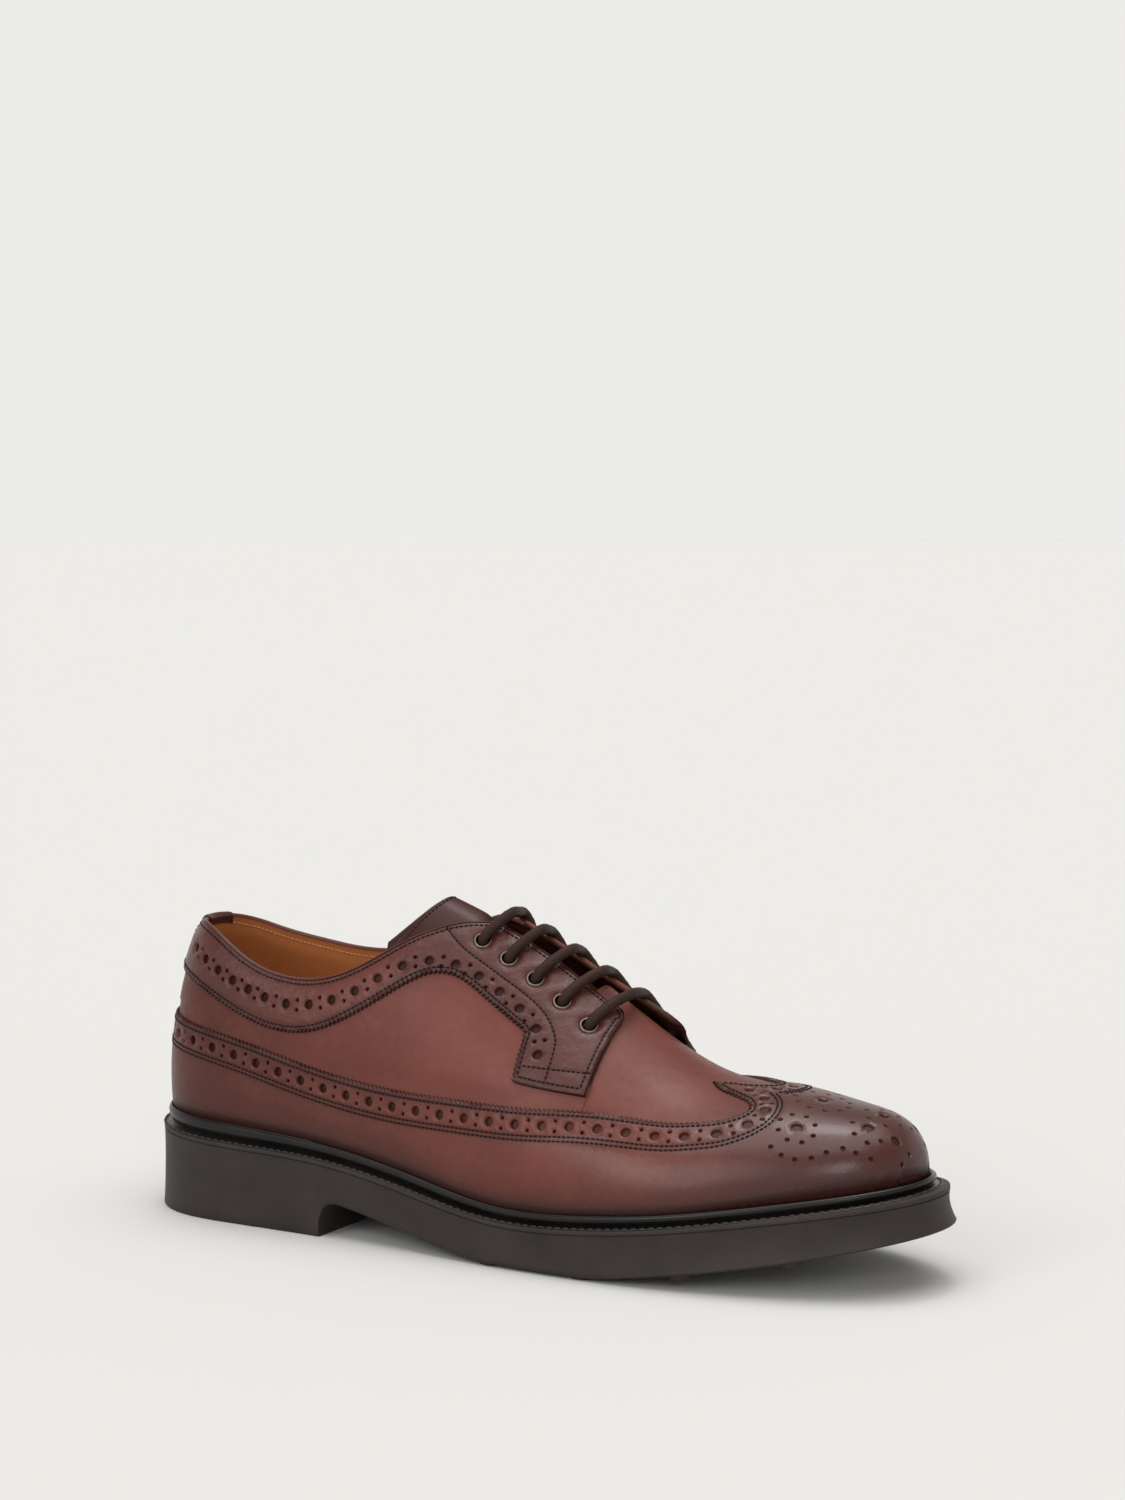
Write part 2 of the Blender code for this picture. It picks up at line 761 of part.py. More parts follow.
def make_welt(finish, parent):
    """Storm welt: a round bead against the upper, and a low flange on the sole's top."""
    loop, out = outline(sole_stations())
    x = loop[:, 0]
    lip = lip_height(x) + CLEARANCE
    top = loop[:, 2] - CLEARANCE
    rise = top - lip
    rings = []
    for across, level in zip(WELT["across"], WELT["level"]):
        rings.append(np.column_stack([loop[:, :2] + out * across, lip + rise * level]))
    points, faces = rings_solid(rings, closed=True)
    return add_object("welt", points, faces, finish, parent)


def make_insole(finish, parent):
    loop, out = outline(sole_stations())
    inset = SKIRT_TUCK + VAMP_WALL + 2 * CLEARANCE
    base = lip_height(loop[:, 0]) + CLEARANCE
    plan = loop[:, :2] - out * inset
    rings = [np.column_stack([plan, base + INSOLE_THICKNESS]), np.column_stack([plan, base])]
    points, faces = rings_solid(rings)
    return add_object("insole", points, faces, finish, parent)


def make_upper(finish, parent):
    """Vamp and quarters in one hollow wall; the quarters stand a step above the vamp."""
    sheet = Sheet(0.0, -VAMP_WALL, follow=0.0).add(wing_cells()).add(upper_cells())
    return add_object("upper", *sheet.solid(skirt=True), finish, parent)


def make_overlay(name, cells, finish, parent):
    sheet = Sheet(CLEARANCE + OVERLAY, CLEARANCE).add(cells)
    return add_object(name, *sheet.solid(), finish, parent)


def make_tongue(finish, parent):
    """Tongue under the facings, from below the vamp to its free end above them."""
    top = -VAMP_WALL - 2.5 * CLEARANCE
    rows = []
    span = TONGUE_ARCH_START - TONGUE["x"][-1]
    for x, half in zip(TONGUE["x"], TONGUE["half"]):
        arch = TONGUE_ARCH * max(TONGUE_ARCH_START - x, 0) / span
        row = []
        for k in range(TONGUE_STRIPS + 1):
            across = 2 * k / TONGUE_STRIPS - 1
            side = LATERAL if across < 0 else MEDIAL
            station = float(station_at(x + arch * (1 - abs(across) ** TONGUE_ARCH_POWER)))
            row.append(surface(station, 1 - abs(across) * half / girth(station, side), side))
        rows.append(row)
    wide = TONGUE_STRIPS + 1
    points = [p + n * top for row in rows for p, n in row]
    points += [p + n * (top - TONGUE_THICKNESS) for row in rows for p, n in row]
    below = len(rows) * wide
    faces = []
    for i in range(len(rows) - 1):
        for k in range(wide - 1):
            a = i * wide + k
            quad = (a, a + 1, a + 1 + wide, a + wide)
            faces += [quad, tuple(v + below for v in quad[::-1])]
    ring = list(range(wide)) + [i * wide + wide - 1 for i in range(1, len(rows))]
    ring += [(len(rows) - 1) * wide + k for k in range(wide - 2, -1, -1)]
    ring += [i * wide for i in range(len(rows) - 2, 0, -1)]
    for a, b in zip(ring, ring[1:] + ring[:1]):
        faces.append((a, a + below, b + below, b))
    return add_object("tongue", points, faces, finish, parent)


def eyelet_place(number, side):
    """Seat of an eyelet on the facing, and the direction out of it."""
    level = number / (EYELET_COUNT - 1)
    x = EYELET_FIRST_X + (EYELET_LAST_X - EYELET_FIRST_X) * level
    drop = EYELET_FIRST_DROP + (EYELET_LAST_DROP - EYELET_FIRST_DROP) * level
    station = float(station_at(x))
    share = 1 - drop / girth(station, side)
    point, normal = surface(*advanced((station, share), side), side)
    return station, share, point + normal * (QUARTER_STEP + 2 * CLEARANCE + OVERLAY), normal


def make_eyelet(name, number, side, finish, parent):
    """A flat ring with a rounded rim, seated on the facing."""
    _, _, seat, normal = eyelet_place(number, side)
    profile = (
        (EYELET_INNER, 0.0),
        (EYELET_OUTER, 0.0),
        (EYELET_OUTER, EYELET_HEIGHT * 0.5),
        (EYELET_OUTER - 0.5, EYELET_HEIGHT),
        (EYELET_INNER, EYELET_HEIGHT),
    )
    turn = Vector((0, 0, 1)).rotation_difference(Vector(normal)).to_matrix()
    rings = []
    for radius, level in profile:
        ring = []
        for k in range(EYELET_SIDES):
            angle = 2 * math.pi * k / EYELET_SIDES
            local = Vector((radius * math.cos(angle), radius * math.sin(angle), level))
            ring.append(Vector(seat) + turn @ local)
        rings.append(np.array(ring))
    points, faces = rings_solid(rings, closed=True)
    return add_object(name, points, faces, finish, parent)


def make_lace_bar(name, number, finish, parent):
    """One straight bar of the lace, over the throat from eyelet to eyelet."""
    height = QUARTER_STEP + 4 * CLEARANCE + OVERLAY + EYELET_HEIGHT + LACE_RADIUS
    path = []
    station, lateral_share, _, _ = eyelet_place(number, LATERAL)
    medial_share = eyelet_place(number, MEDIAL)[1]
    for side, edge in ((LATERAL, lateral_share), (MEDIAL, medial_share)):
        rest = 1 - FACING_GAP / girth(station, side)
        shares = (edge, (edge + rest) / 2, rest)
        arm = [surface(*advanced((station, share), side), side) for share in shares]
        arm = [point + normal * height for point, normal in arm]
        path += arm if side == LATERAL else arm[::-1]
    knots = np.arange(len(path))
    fine = np.linspace(0, knots[-1], LACE_POINTS)
    path = np.stack([natural_spline(knots, np.array(path)[:, axis], fine) for axis in range(3)], -1)
    curve = bpy.data.curves.new(name, "CURVE")
    curve.dimensions = "3D"
    curve.bevel_depth = LACE_RADIUS * MM
    curve.bevel_resolution = 2
    curve.use_fill_caps = True
    spline = curve.splines.new("POLY")
    spline.points.add(len(path) - 1)
    for vertex, place in zip(spline.points, path):
        vertex.co = (*(Vector(place) * MM), 1.0)
    curve.materials.append(finish)
    made = bpy.data.objects.new(name, curve)
    bpy.context.scene.collection.objects.link(made)
    made.parent = parent
    return made


def clear_scene():
    for item in list(bpy.data.objects):
        bpy.data.objects.remove(item, do_unlink=True)


def make_origin(outsole):
    """Empty that carries the shoe, so that the frame's origin is under its middle."""
    corners = np.array([v.co for v in outsole.data.vertices])
    low, high = corners.min(0), corners.max(0)
    return (-(low[0] + high[0]) / 2, -(low[1] + high[1]) / 2, 0.0)


def main():
    clear_scene()
    shoe = bpy.data.objects.new("shoe", None)
    bpy.context.scene.collection.objects.link(shoe)
    leather = material("burnished_leather", (0.115, 0.040, 0.032), 0.38)
    overlay = material("overlay_leather", (0.100, 0.036, 0.029), 0.36)
    rubber = material("sole_rubber", (0.036, 0.028, 0.026), 0.60)
    bead = material("welt_rubber", (0.016, 0.014, 0.013), 0.30)
    lining = material("tan_lining", (0.330, 0.130, 0.038), 0.55)
    brass = material("dark_eyelet", (0.110, 0.090, 0.080), 0.30, 1.0)
    cord = material("waxed_cord", (0.040, 0.024, 0.018), 0.60)

    outsole = make_outsole(rubber, shoe)
    add_studs(outsole, rubber, shoe)
    make_welt(bead, shoe)
    make_insole(lining, shoe)
    make_upper(leather, shoe)
    make_tongue(leather, shoe)
    make_overlay("wing", wing_cells(), overlay, shoe)
    make_overlay("facing_lateral", facing_cells(LATERAL), overlay, shoe)
    make_overlay("facing_medial", facing_cells(MEDIAL), overlay, shoe)
    make_overlay("heel_strip", strip_cells(), overlay, shoe)
    for number in range(EYELET_COUNT):
        make_eyelet(f"eyelet_lateral_{number + 1}", number, LATERAL, brass, shoe)
        make_eyelet(f"eyelet_medial_{number + 1}", number, MEDIAL, brass, shoe)
        make_lace_bar(f"lace_bar_{number + 1}", number, cord, shoe)
    shoe.location = make_origin(outsole)


main()
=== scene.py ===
"""Looks of a long-wing derby brogue, a right shoe, built round its CAD frame.

Lengths inside the script are millimetres along the last, measured from its heel, as in the
part's source: +X to the toe, -Y to the outer side, +Z up. They turn into metres, in the
frame's own axes, when a mesh is made.
"""
import math

import bpy
import numpy as np
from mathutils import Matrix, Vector
from mathutils.geometry import delaunay_2d_cdt
from mathutils.kdtree import KDTree


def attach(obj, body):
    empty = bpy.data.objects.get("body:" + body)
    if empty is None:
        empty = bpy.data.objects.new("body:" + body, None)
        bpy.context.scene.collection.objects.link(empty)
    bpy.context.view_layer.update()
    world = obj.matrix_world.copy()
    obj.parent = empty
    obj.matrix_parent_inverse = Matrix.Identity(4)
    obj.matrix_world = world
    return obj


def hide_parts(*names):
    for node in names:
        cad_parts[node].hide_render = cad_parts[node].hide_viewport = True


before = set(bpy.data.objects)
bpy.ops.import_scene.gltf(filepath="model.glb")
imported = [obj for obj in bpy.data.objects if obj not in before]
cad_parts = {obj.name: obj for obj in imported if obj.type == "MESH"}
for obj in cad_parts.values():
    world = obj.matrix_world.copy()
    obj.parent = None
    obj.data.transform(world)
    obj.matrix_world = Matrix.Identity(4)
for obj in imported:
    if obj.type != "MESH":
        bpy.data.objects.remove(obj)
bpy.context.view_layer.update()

MM = 0.001
LATERAL, MEDIAL = -1.0, 1.0
SIDES = {"lateral": LATERAL, "medial": MEDIAL}

# Driving sizes of the last, as in the part's source
LAST_LENGTH, BALL_WIDTH, INSTEP_HEIGHT, HEEL_HEIGHT = 294.0, 90.0, 103.0, 37.0
HEEL_RADIUS, TOE_RADIUS, TOE_PROFILE_RADIUS, HEEL_FAN = 33.0, 23.0, 26.0, 44.0
ORIGIN = np.array([149.15, 0.42233, 0.0])

# Heights of the leather's layers over the last
BACKING, LINING, QUARTER, WING, FACING, STRIP = -0.3, -1.9, 1.0, 1.4, 2.4, 3.1
TONGUE_TOP, TONGUE_UNDER = -2.3, -4.2


def columns(*rows):
    """The columns of a short table, as arrays."""
    return np.array(rows, float).T


# Sections of the last: place along it, half widths over ball width, feather height over
# heel height, ridge height over instep height, ridge's sideways shift, then the shape of
# the side: bulge, height where it is fullest, and breadth of its top
LAST_ALONG, LATERAL_HALF, MEDIAL_HALF, FEATHER, RIDGE, SHIFT, BULGE, RISE, BREADTH = columns(
    (0.000, 0.000, 0.000, 1.000, 1.437, 0.0, 0.13, 0.50, 0.34),
    (0.136, 0.356, 0.344, 0.946, 1.408, 0.0, 0.12, 0.50, 0.34),
    (0.272, 0.378, 0.333, 0.873, 1.301, 1.0, 0.11, 0.48, 0.36),
    (0.408, 0.422, 0.322, 0.711, 1.165, 3.0, 0.10, 0.45, 0.38),
    (0.527, 0.472, 0.389, 0.549, 1.000, 4.0, 0.08, 0.45, 0.40),
    (0.646, 0.494, 0.478, 0.568, 0.767, 4.0, 0.07, 0.48, 0.45),
    (0.748, 0.478, 0.500, 0.657, 0.617, 3.0, 0.06, 0.52, 0.52),
    (0.850, 0.408, 0.432, 0.784, 0.587, 2.5, 0.06, 0.58, 0.60),
    (0.935, 0.296, 0.306, 0.892, 0.549, 2.0, 0.05, 0.60, 0.62),
    (1.000, 0.000, 0.000, 0.973, 0.000, 2.0, 0.05, 0.60, 0.62),
)
# Sections of the sole: top of its lip, underside before the heel is added, how far
# the lip stands out from the feather line, and the flare of the wall at its foot
SOLE_ALONG, LIP, UNDERSIDE, OVERHANG, FLARE = columns(
    (0.000, 31.0, 16.0, 4.6, 0.0),
    (0.136, 29.0, 14.5, 5.0, 0.0),
    (0.272, 27.5, 13.5, 5.0, 0.0),
    (0.408, 21.8, 6.5, 5.0, 0.0),
    (0.527, 16.3, 0.6, 5.0, 0.0),
    (0.646, 17.0, 0.6, 5.0, 0.0),
    (0.748, 20.5, 4.5, 5.0, 0.3),
    (0.850, 25.3, 10.0, 5.5, 1.0),
    (0.935, 29.5, 15.5, 6.5, 1.7),
    (1.000, 33.0, 20.5, 7.5, 2.2),
)
LAST_X, SOLE_X = LAST_ALONG * LAST_LENGTH, SOLE_ALONG * LAST_LENGTH

# Pattern lines: place along, and share of the girth from feather line to ridge
TOPLINE_X, TOPLINE_LATERAL, TOPLINE_MEDIAL = columns(
    (0.0, 0.572, 0.572), (10.0, 0.577, 0.552), (20.0, 0.566, 0.533), (40.0, 0.512, 0.524),
    (60.0, 0.492, 0.536), (75.0, 0.520, 0.570), (90.0, 0.602, 0.633), (105.0, 0.730, 0.740),
    (120.0, 0.840, 0.868), (133.0, 0.905, 0.905),
)
BAND_EDGE = columns(
    (0.0, 0.430), (20.0, 0.398), (40.0, 0.349), (58.0, 0.324), (74.0, 0.348), (90.0, 0.433),
    (105.0, 0.552), (118.0, 0.651), (128.0, 0.674), (140.0, 0.650), (157.6, 0.605),
)
BAND_HOLES = columns(
    (9.0, 0.515), (20.0, 0.482), (40.0, 0.435), (60.0, 0.412), (75.0, 0.440), (90.0, 0.515),
    (106.0, 0.640), (118.0, 0.695), (131.0, 0.713), (148.0, 0.685), (158.0, 0.655),
    (163.5, 0.610), (164.8, 0.550),
)
EYESTAY_LINE = columns(
    (117.0, 0.820), (125.0, 0.780), (133.5, 0.760), (145.5, 0.740), (156.7, 0.720),
    (163.8, 0.690), (167.7, 0.650), (169.5, 0.610), (170.1, 0.540), (170.0, 0.475),
)
# How far the inner side's pattern lies forward of the outer side's, round the throat
ADVANCE = columns(
    (90.0, 0.0), (110.0, 1.8), (132.0, 5.5), (160.0, 9.5), (185.0, 12.0), (205.0, 9.5),
    (225.0, 3.5), (245.0, 0.0),
)
ADVANCE_REACH, ADVANCE_FOOT = 20.0, 0.35
# The wing's upper edge, in millimetres of leather over the feather line, then by side
WING_EDGE = columns(
    (0.0, 36.0), (20.0, 34.0), (45.0, 31.2), (65.0, 28.0), (85.0, 26.1), (110.0, 27.0),
    (135.0, 31.2), (160.0, 34.5), (185.0, 35.5),
)
WING_FRONT = {
    LATERAL: columns((205.0, 33.8), (217.0, 32.7), (225.5, 32.9)),
    MEDIAL: columns((198.0, 36.8), (210.0, 40.5), (222.0, 46.0)),
}
# Axis of wing and toe ornament: distance from the ridge; then the wing's curl, out from it
TOE_AXIS = columns(
    (200.0, -10.4), (220.0, -10.4), (232.0, -10.5), (242.0, -9.5), (259.0, -5.3), (281.0, -2.6),
    (294.0, -1.0),
)
WING_CURL = columns(
    (232.5, 19.2), (235.3, 17.4), (238.2, 14.9), (239.1, 12.3), (238.0, 9.4), (234.5, 6.9),
    (229.8, 5.0), (224.5, 3.3), (220.3, 0.0),
)
WING_THIN, WING_THIN_SPAN, WING_FOOT = 0.85, (215.0, 255.0), -0.02
# Thinning of the collar's edge: along, down from the topline, on the outer and the inner face
COLLAR_END, COLLAR_REACH = (112.0, 126.0), (0.5, 7.0)
COLLAR_OUTER, COLLAR_INNER, THROAT_INNER = 1.1, 1.2, 1.5
# How far each facing's edge stands off at the throat, by place along
EDGE_LIFT = {
    LATERAL: columns((100.0, 0.0), (160.0, 0.0), (178.0, 0.4), (190.0, 0.8)),
    MEDIAL: columns(
        (100.0, 0.0), (108.0, 0.3), (116.0, 2.4), (124.0, 2.9), (136.0, 1.5), (150.0, 0.9),
        (165.0, 1.5), (178.0, 2.8), (190.0, 3.5),
    ),
}
LIFT_REACH = (0.0, 10.0)
FACING_BACK, FACING_CORNER, FACING_GAP, LINING_STITCH_END = 1.0, 133.0, 9.5, 106.0
TAB_BACK, TAB_HEIGHT, TAB_ROUND, TAB_LINE_X, TAB_LINE_HEIGHT = 157.6, (42.5, 40.2), 7.0, (160.5, 184.6), 48.5
EDGE_BULGE, EDGE_STEP, EDGE_TAPER, EDGE_ROWS = 0.9, 1.4, 5.0, 9
QUARTER_FRONT, QUARTER_LOW, QUARTER_TUCK, QUARTER_RISE = 185.0, 0.25, 3.4, 13.0
SLOT_END, SHELL_ROWS, SHELL_FOOT = 176.5, 36, -0.03
VAMP_BACK, VAMP_FRONT, VAMP_SHARE = 172.5, 246.0, 0.66
STRIP_EDGE, STRIP_FOOT, STRIP_FOLD, STRIP_STITCH_X, STRIP_ROWS = 1.8, 33.0, 2.5, 1.3, 26
STRIP_LOW, STRIP_TUCK, STRIP_THICK, BACK_BAND = 2.0, 1.0, 1.3, 52.3
STRIP_STEP, STRIP_DIP = (BACK_BAND - 4.0, BACK_BAND + 1.0), (35.2, 38.5)
STRIP_ROLL, STRIP_INSIDE, STRIP_RIM, STRIP_DARK = 1.25, 0.35, 0.35, 0.12

# Tongue: half width by place along
TONGUE = columns(
    (95.0, 39.0), (103.0, 36.0), (111.0, 33.0), (119.0, 30.5), (126.0, 28.0), (133.0, 26.0),
    (140.0, 24.0), (148.0, 22.5), (157.6, 21.0), (167.0, 20.0), (176.5, 19.0), (184.0, 17.0),
)
TONGUE_END, TONGUE_FRONT = TONGUE[0, 0], TONGUE[0, -1]
TONGUE_ROUND, TONGUE_STITCH, TONGUE_RIM, END_STRETCH = 7.0, 1.7, 0.9, 1.1
# Tone of the tongue: base, at its edge with reach, painted shade in the throat; then depth and width of its
# groove
TONGUE_DARK, TONGUE_EDGE_DARK, THROAT_SHADE, TONGUE_GROOVE = 0.24, (0.2, 5.0), 0.9, (0.22, 0.5)
TONGUE_FLAT, FLAT_REACH, TONGUE_SINK, SINK_REACH = 1.5, 9.0, 3.0, 14.0
TONGUE_ARCH, TONGUE_ARCH_POWER, TONGUE_ARCH_START = 15.0, 1.5, 133.0
THROAT_START, THROAT_END = (118.0, 132.0), (172.0, 182.0)

# Eyelets, from the collar towards the toe: place along, and distance from the ridge
EYELET_COUNT, EYELET_SIDES, EYELET_HOLE, EYELET_RING = 5, 36, 2.45, 3.3
EYELET_X = np.linspace(132.0, 177.0, EYELET_COUNT)
EYELET_DROP = np.linspace(18.2, 22.6, EYELET_COUNT)
EYELET_PROFILE = (
    (3.35, -0.5), (3.35, 0.1), (3.1, 0.36), (2.75, 0.42), (2.4, 0.28), (2.25, -0.1), (2.25, -1.4),
)
# Leather round an eyelet, as height, reach and width: drawn in, raised beyond, puckered
EYELET_DIP, EYELET_RIDGE, EYELET_PUCKER = (-0.55, EYELET_HOLE, 1.8), (0.26, 5.4, 1.1), (0.09, 5.0, 1.6)
LACE_RADIUS, LACE_SIDES, LACE_RINGS, LACE_WEAVE = 1.85, 20, 90, 0.03
# Lace out of an eyelet: share of the way to the throat's edge, and its height over the last
LACE_RISE = columns((0.0, 0.2), (0.02, 1.7), (0.14, 3.5))
# Lace along each arm: share of the way, and its lift off the facing
LACE_REST = {
    LATERAL: columns((0.4, 0.3), (0.7, 1.2), (1.0, 2.1)),
    MEDIAL: columns((0.5, -0.2), (1.0, -0.1)),
}
LACE_SLANT = {LATERAL: (4.4, 4.4, 4.4, 4.4, 4.4), MEDIAL: (-3.6, -4.0, -4.6, -5.3, -6.2)}
LACE_APEX, LACE_ARCH = 0.66, 1.5

# Sole
HEEL_BREAST, BREAST_FILLET, HEEL_PROUD, FOOT_CHAMFER = 82.0, 8.0, 0.3, 0.8
WALL_HOLLOW = columns((0.0, 0.25), (80.0, 0.3), (230.0, 0.5), (294.0, 0.5))
# Lip and groove of the sole's edge: distance out from its overhang, and height from the lip's top
LIP_PROFILE = (
    (-4.0, 0.0), (-0.7, 0.0), (-0.2, -0.12), (0.0, -0.45), (0.0, -1.45),
    (-0.45, -1.6), (-0.45, -1.85), (-0.1, -2.0),
)
WALL_TOP, WALL_ROWS, WALL_INSET = 2.4, 11, 0.15
STUD_HEIGHT, STUD_FIRST, STUD_PITCH, STUD_SIDES = 1.0, 154.0, 36.0, 32
STUD_PROFILE = ((4.2, -1.5), (4.1, 0.7), (3.7, 0.98), (2.6, 0.98), (2.3, 0.6))
STUD_INSET, STUD_LONGER, STUD_FREE, STUD_PAIR = 5.2, 0.9, (195.0, 220.0), 0.42
# Welt: distance out from the feather line, share of its height over the lip, and lift
WELT_PROFILE = (
    (0.2, 0.0, 0.05), (0.9, 0.8, 0.0), (1.4, 1.0, 0.0), (2.0, 1.02, 0.05), (2.6, 0.93, 0.0), (2.9, 0.75, 0.0),
    (2.75, 0.5, 0.0), (2.0, 0.3, 0.0), (1.7, 0.12, 0.0), (2.4, 0.0, 0.30), (4.7, 0.0, 0.30), (4.9, 0.0, 0.05),
)
WELT_RISE, WELT_STITCH, WELT_STITCH_OUT, WELT_STITCH_UP = 0.35, 3.1, 4.35, 0.28
WELT_THREAD_LENGTH, WELT_THREAD_RADIUS = 0.78 * WELT_STITCH, 0.42
INSOLE_PROFILE = ((9.0, 3.2), (4.2, 3.3), (3.4, 3.0), (3.2, 0.3))

# Punching, pinking and stitching; depth of the cut edges, and spacing of the panels' points
WING_CUT, FACING_CUT, WING_SPACING, FACING_SPACING = 1.3, 1.6, 2.2, 1.7
LARGE_HOLE, SMALL_HOLE, PAIR_SPREAD = 1.65, 0.6, 1.75
LARGE_SIDES, SMALL_SIDES, EYELET_HOLE_SIDES = 16, 8, 24
WING_PITCH, WING_HOLES, CURL_STEPS = 10.15, 6.0, (8.7, 7.5, 9.2, 10.8, 11.0)
BAND_PITCH, BAND_STEPS = 7.75, 8 * (10.1,) + 5 * (9.6,)
WING_STITCHES = (2.2, 9.6, 11.1)
EDGE_STITCH, TOP_STITCH, LINING_STITCH = 2.2, 1.5, 2.4
# Toe ornament: rings by place along, distance out, reach each way, count and turn
MEDALLION_RINGS = (
    (259.0, 0.0, 9.5, 8.0, 11, 0.0),
    (258.0, 19.8, 6.4, 6.2, 8, 10.0),
    (280.0, 0.0, 6.0, 6.5, 6, 0.0),
    (279.0, 10.8, 5.4, 6.6, 7, 20.0),
    (287.5, 9.0, 4.0, 6.0, 6, 40.0),
)
MEDALLION_SINGLES = (
    (252.5, 29.0), (256.5, 31.5), (261.0, 32.0), (266.0, 30.0), (270.0, 26.5), (274.5, 23.0), (278.5, 22.6),
    (283.0, 21.5),
)
SMALL_CLEAR, LARGE_CLEAR = 3.2, 3.4
PINK_PITCH, PINK_DEPTH = 1.75, 1.05
STITCH_PITCH, STITCH_LENGTH, STITCH_RADIUS, STITCH_SIDES = 1.75, 1.42, 0.33, 6
# Rings of a thread: place along it, width, and height over the leather
STITCH_RINGS = columns((-0.5, 0.25, -0.16), (-0.3, 0.95, 0.02), (0.3, 0.95, 0.02), (0.5, 0.25, -0.16))
THREAD_SINK, SEAM_DIP, SEAM_REACH, EDGE_BEVEL = 0.05, 0.2, 0.75, 0.45

# Tone: base, then amount with its span: rubbed darker at the toe, darker low down, painted shade at the foot
# where the upper meets the welt, and rubbed darker towards the heel
BASE_TONE, TOE_RUB, LOW_DARKENING = 0.30, (0.40, 205.0, 280.0), (0.22, 0.0, 16.0)
FOOT_SHADE, HEEL_RUB, EYESTAY_RUB = (0.8, 0.0, 5.0), (0.22, 5.0, 150.0), (0.22, 95.0, 125.0)
# Painted shade under overlying panels, seen through their holes: amount and span in from the covering edge;
# then the lining's tone, and painted shade on it in the throat
UNDER_SHADE, UNDER_SPAN, LINING_TONE, LINING_SHADE = 0.75, (1.0, 4.0), 0.45, (0.6, 104.0, 122.0)
# Leather under the punched holes: a dark base as painted shade inside the holes, paler over the middle,
# darker again towards the toe
BACKING_TONE, BACKING_PALER, BACKING_TOE_DARKER = 0.95, (0.3, 60.0, 180.0), (0.3, 215.0, 240.0)
# Tone of the rolled edge from face to lining; then at the throat, with painted shade inside it and towards
# its front
EDGE_TONE, THROAT_TONE, INSIDE_SHADE, FRONT_SHADE = (0.75, 0.35), 0.4, (0.9, 4.0, 6.0), (0.5, 165.0, 180.0)
# Tone added at a panel's edge, as amount and reach, then its dark line, the seams and the cut walls; the edge
# darkening is partly dark cut edge and partly painted shade, the seams and the holes' walls carry painted
# shade
RIM_DARK, RIM_REACH, RIM_LINE, SEAM_SHADE, CUT_DARK = 0.18, 3.5, (0.12, 0.9), (0.35, 0.6), (0.25, 0.6, 0.2)

# Studio
CAMERA_PLACE = np.array([638.96, -890.37, 249.8])
CAMERA_YAW, CAMERA_PITCH = 28.345, -4.344
FOCAL_PIXELS, PHOTO_HEIGHT, SENSOR, CLIP_END = 2909.5, 1500.0, 36.0, 500.0
FLOOR_COLOUR, FLOOR_SIZE = (0.552, 0.548, 0.538), 60.0
WORLD_COLOUR, WORLD_STRENGTH = (1.0, 0.994, 0.965), 3.0
# Brightness of the studio by the sine of the height over the horizon
WORLD_BANDS = ((0.0, 0.28), (0.36, 0.28), (0.52, 0.09), (0.78, 0.10), (0.90, 1.0))
# Soft lights: name, direction round and up, spread in degrees, strength
SUNS = (
    ("front_softbox", -103.0, 29.0, 34.0, 0.66),
    ("side_softbox", -116.0, 29.0, 16.0, 0.20),
    ("toe_softbox", -55.0, 27.0, 18.0, 0.50),
    ("top_softbox", 106.0, 77.0, 14.0, 0.46),
)


# Numbers
def spline(xs, ys, x):
    """Smooth curve through a table's points with free ends."""
    xs, ys, x = (np.asarray(a, float) for a in (xs, ys, x))
    count = len(xs)
    step = np.diff(xs)
    slope = np.diff(ys) / step
    matrix = np.eye(count)
    right = np.zeros(count)
    for i in range(1, count - 1):
        matrix[i, i - 1 : i + 2] = step[i - 1], 2 * (step[i - 1] + step[i]), step[i]
        right[i] = 3 * (slope[i] - slope[i - 1])
    bend = np.linalg.solve(matrix, right)
    k = np.clip(np.searchsorted(xs, x) - 1, 0, count - 2)
    cubic = (bend[k + 1] - bend[k]) / (3 * step[k])
    linear = slope[k] - step[k] * (2 * bend[k] + bend[k + 1]) / 3
    u = x - xs[k]
    return ys[k] + u * (linear + u * (bend[k] + u * cubic))


def smooth(low, high, x):
    """0 below low, 1 above high, and a smooth step between."""
    t = np.clip((np.asarray(x, float) - low) / (high - low), 0, 1)
    return t * t * (3 - 2 * t)


def step_up(row, x):
    """An amount that comes in over a span."""
    return row[0] * smooth(*row[1:], x)


def step_down(row, x):
    """An amount that goes out over a span."""
    return row[0] - step_up(row, x)


def bell(x, width, middle=0.0):
    """1 in the middle, falling off to both sides."""
    return np.exp(-(((x - middle) / width) ** 2))


def unit(v):
    return v / np.linalg.norm(v, axis=-1, keepdims=True)


def turns(count):
    """Angles of points evenly round a circle."""
    return np.linspace(0, 2 * math.pi, count, endpoint=False)


def run_of(points):
    """Length along a line up to each of its points."""
    return np.concatenate([[0.0], np.cumsum(np.linalg.norm(np.diff(points, axis=0), axis=1))])


def at_run(at, run, points):
    """Points of a line at lengths along it."""
    return np.stack([np.interp(at, run, column) for column in points.T], -1)


def curve_through(knots, count):
    """A smooth curve through points, in even steps."""
    run = run_of(knots)
    fine = np.linspace(0, run[-1], count)
    return np.stack([spline(run, column, fine) for column in knots.T], -1)


def by_side(side, lateral, medial):
    return np.where(np.asarray(side) < 0, lateral, medial)


# The last
def round_ends(x):
    """1 at mid length, falling as an ellipse to 0 at heel and toe."""
    return 2 * np.sqrt(np.clip(x * (LAST_LENGTH - x), 0, None)) / LAST_LENGTH


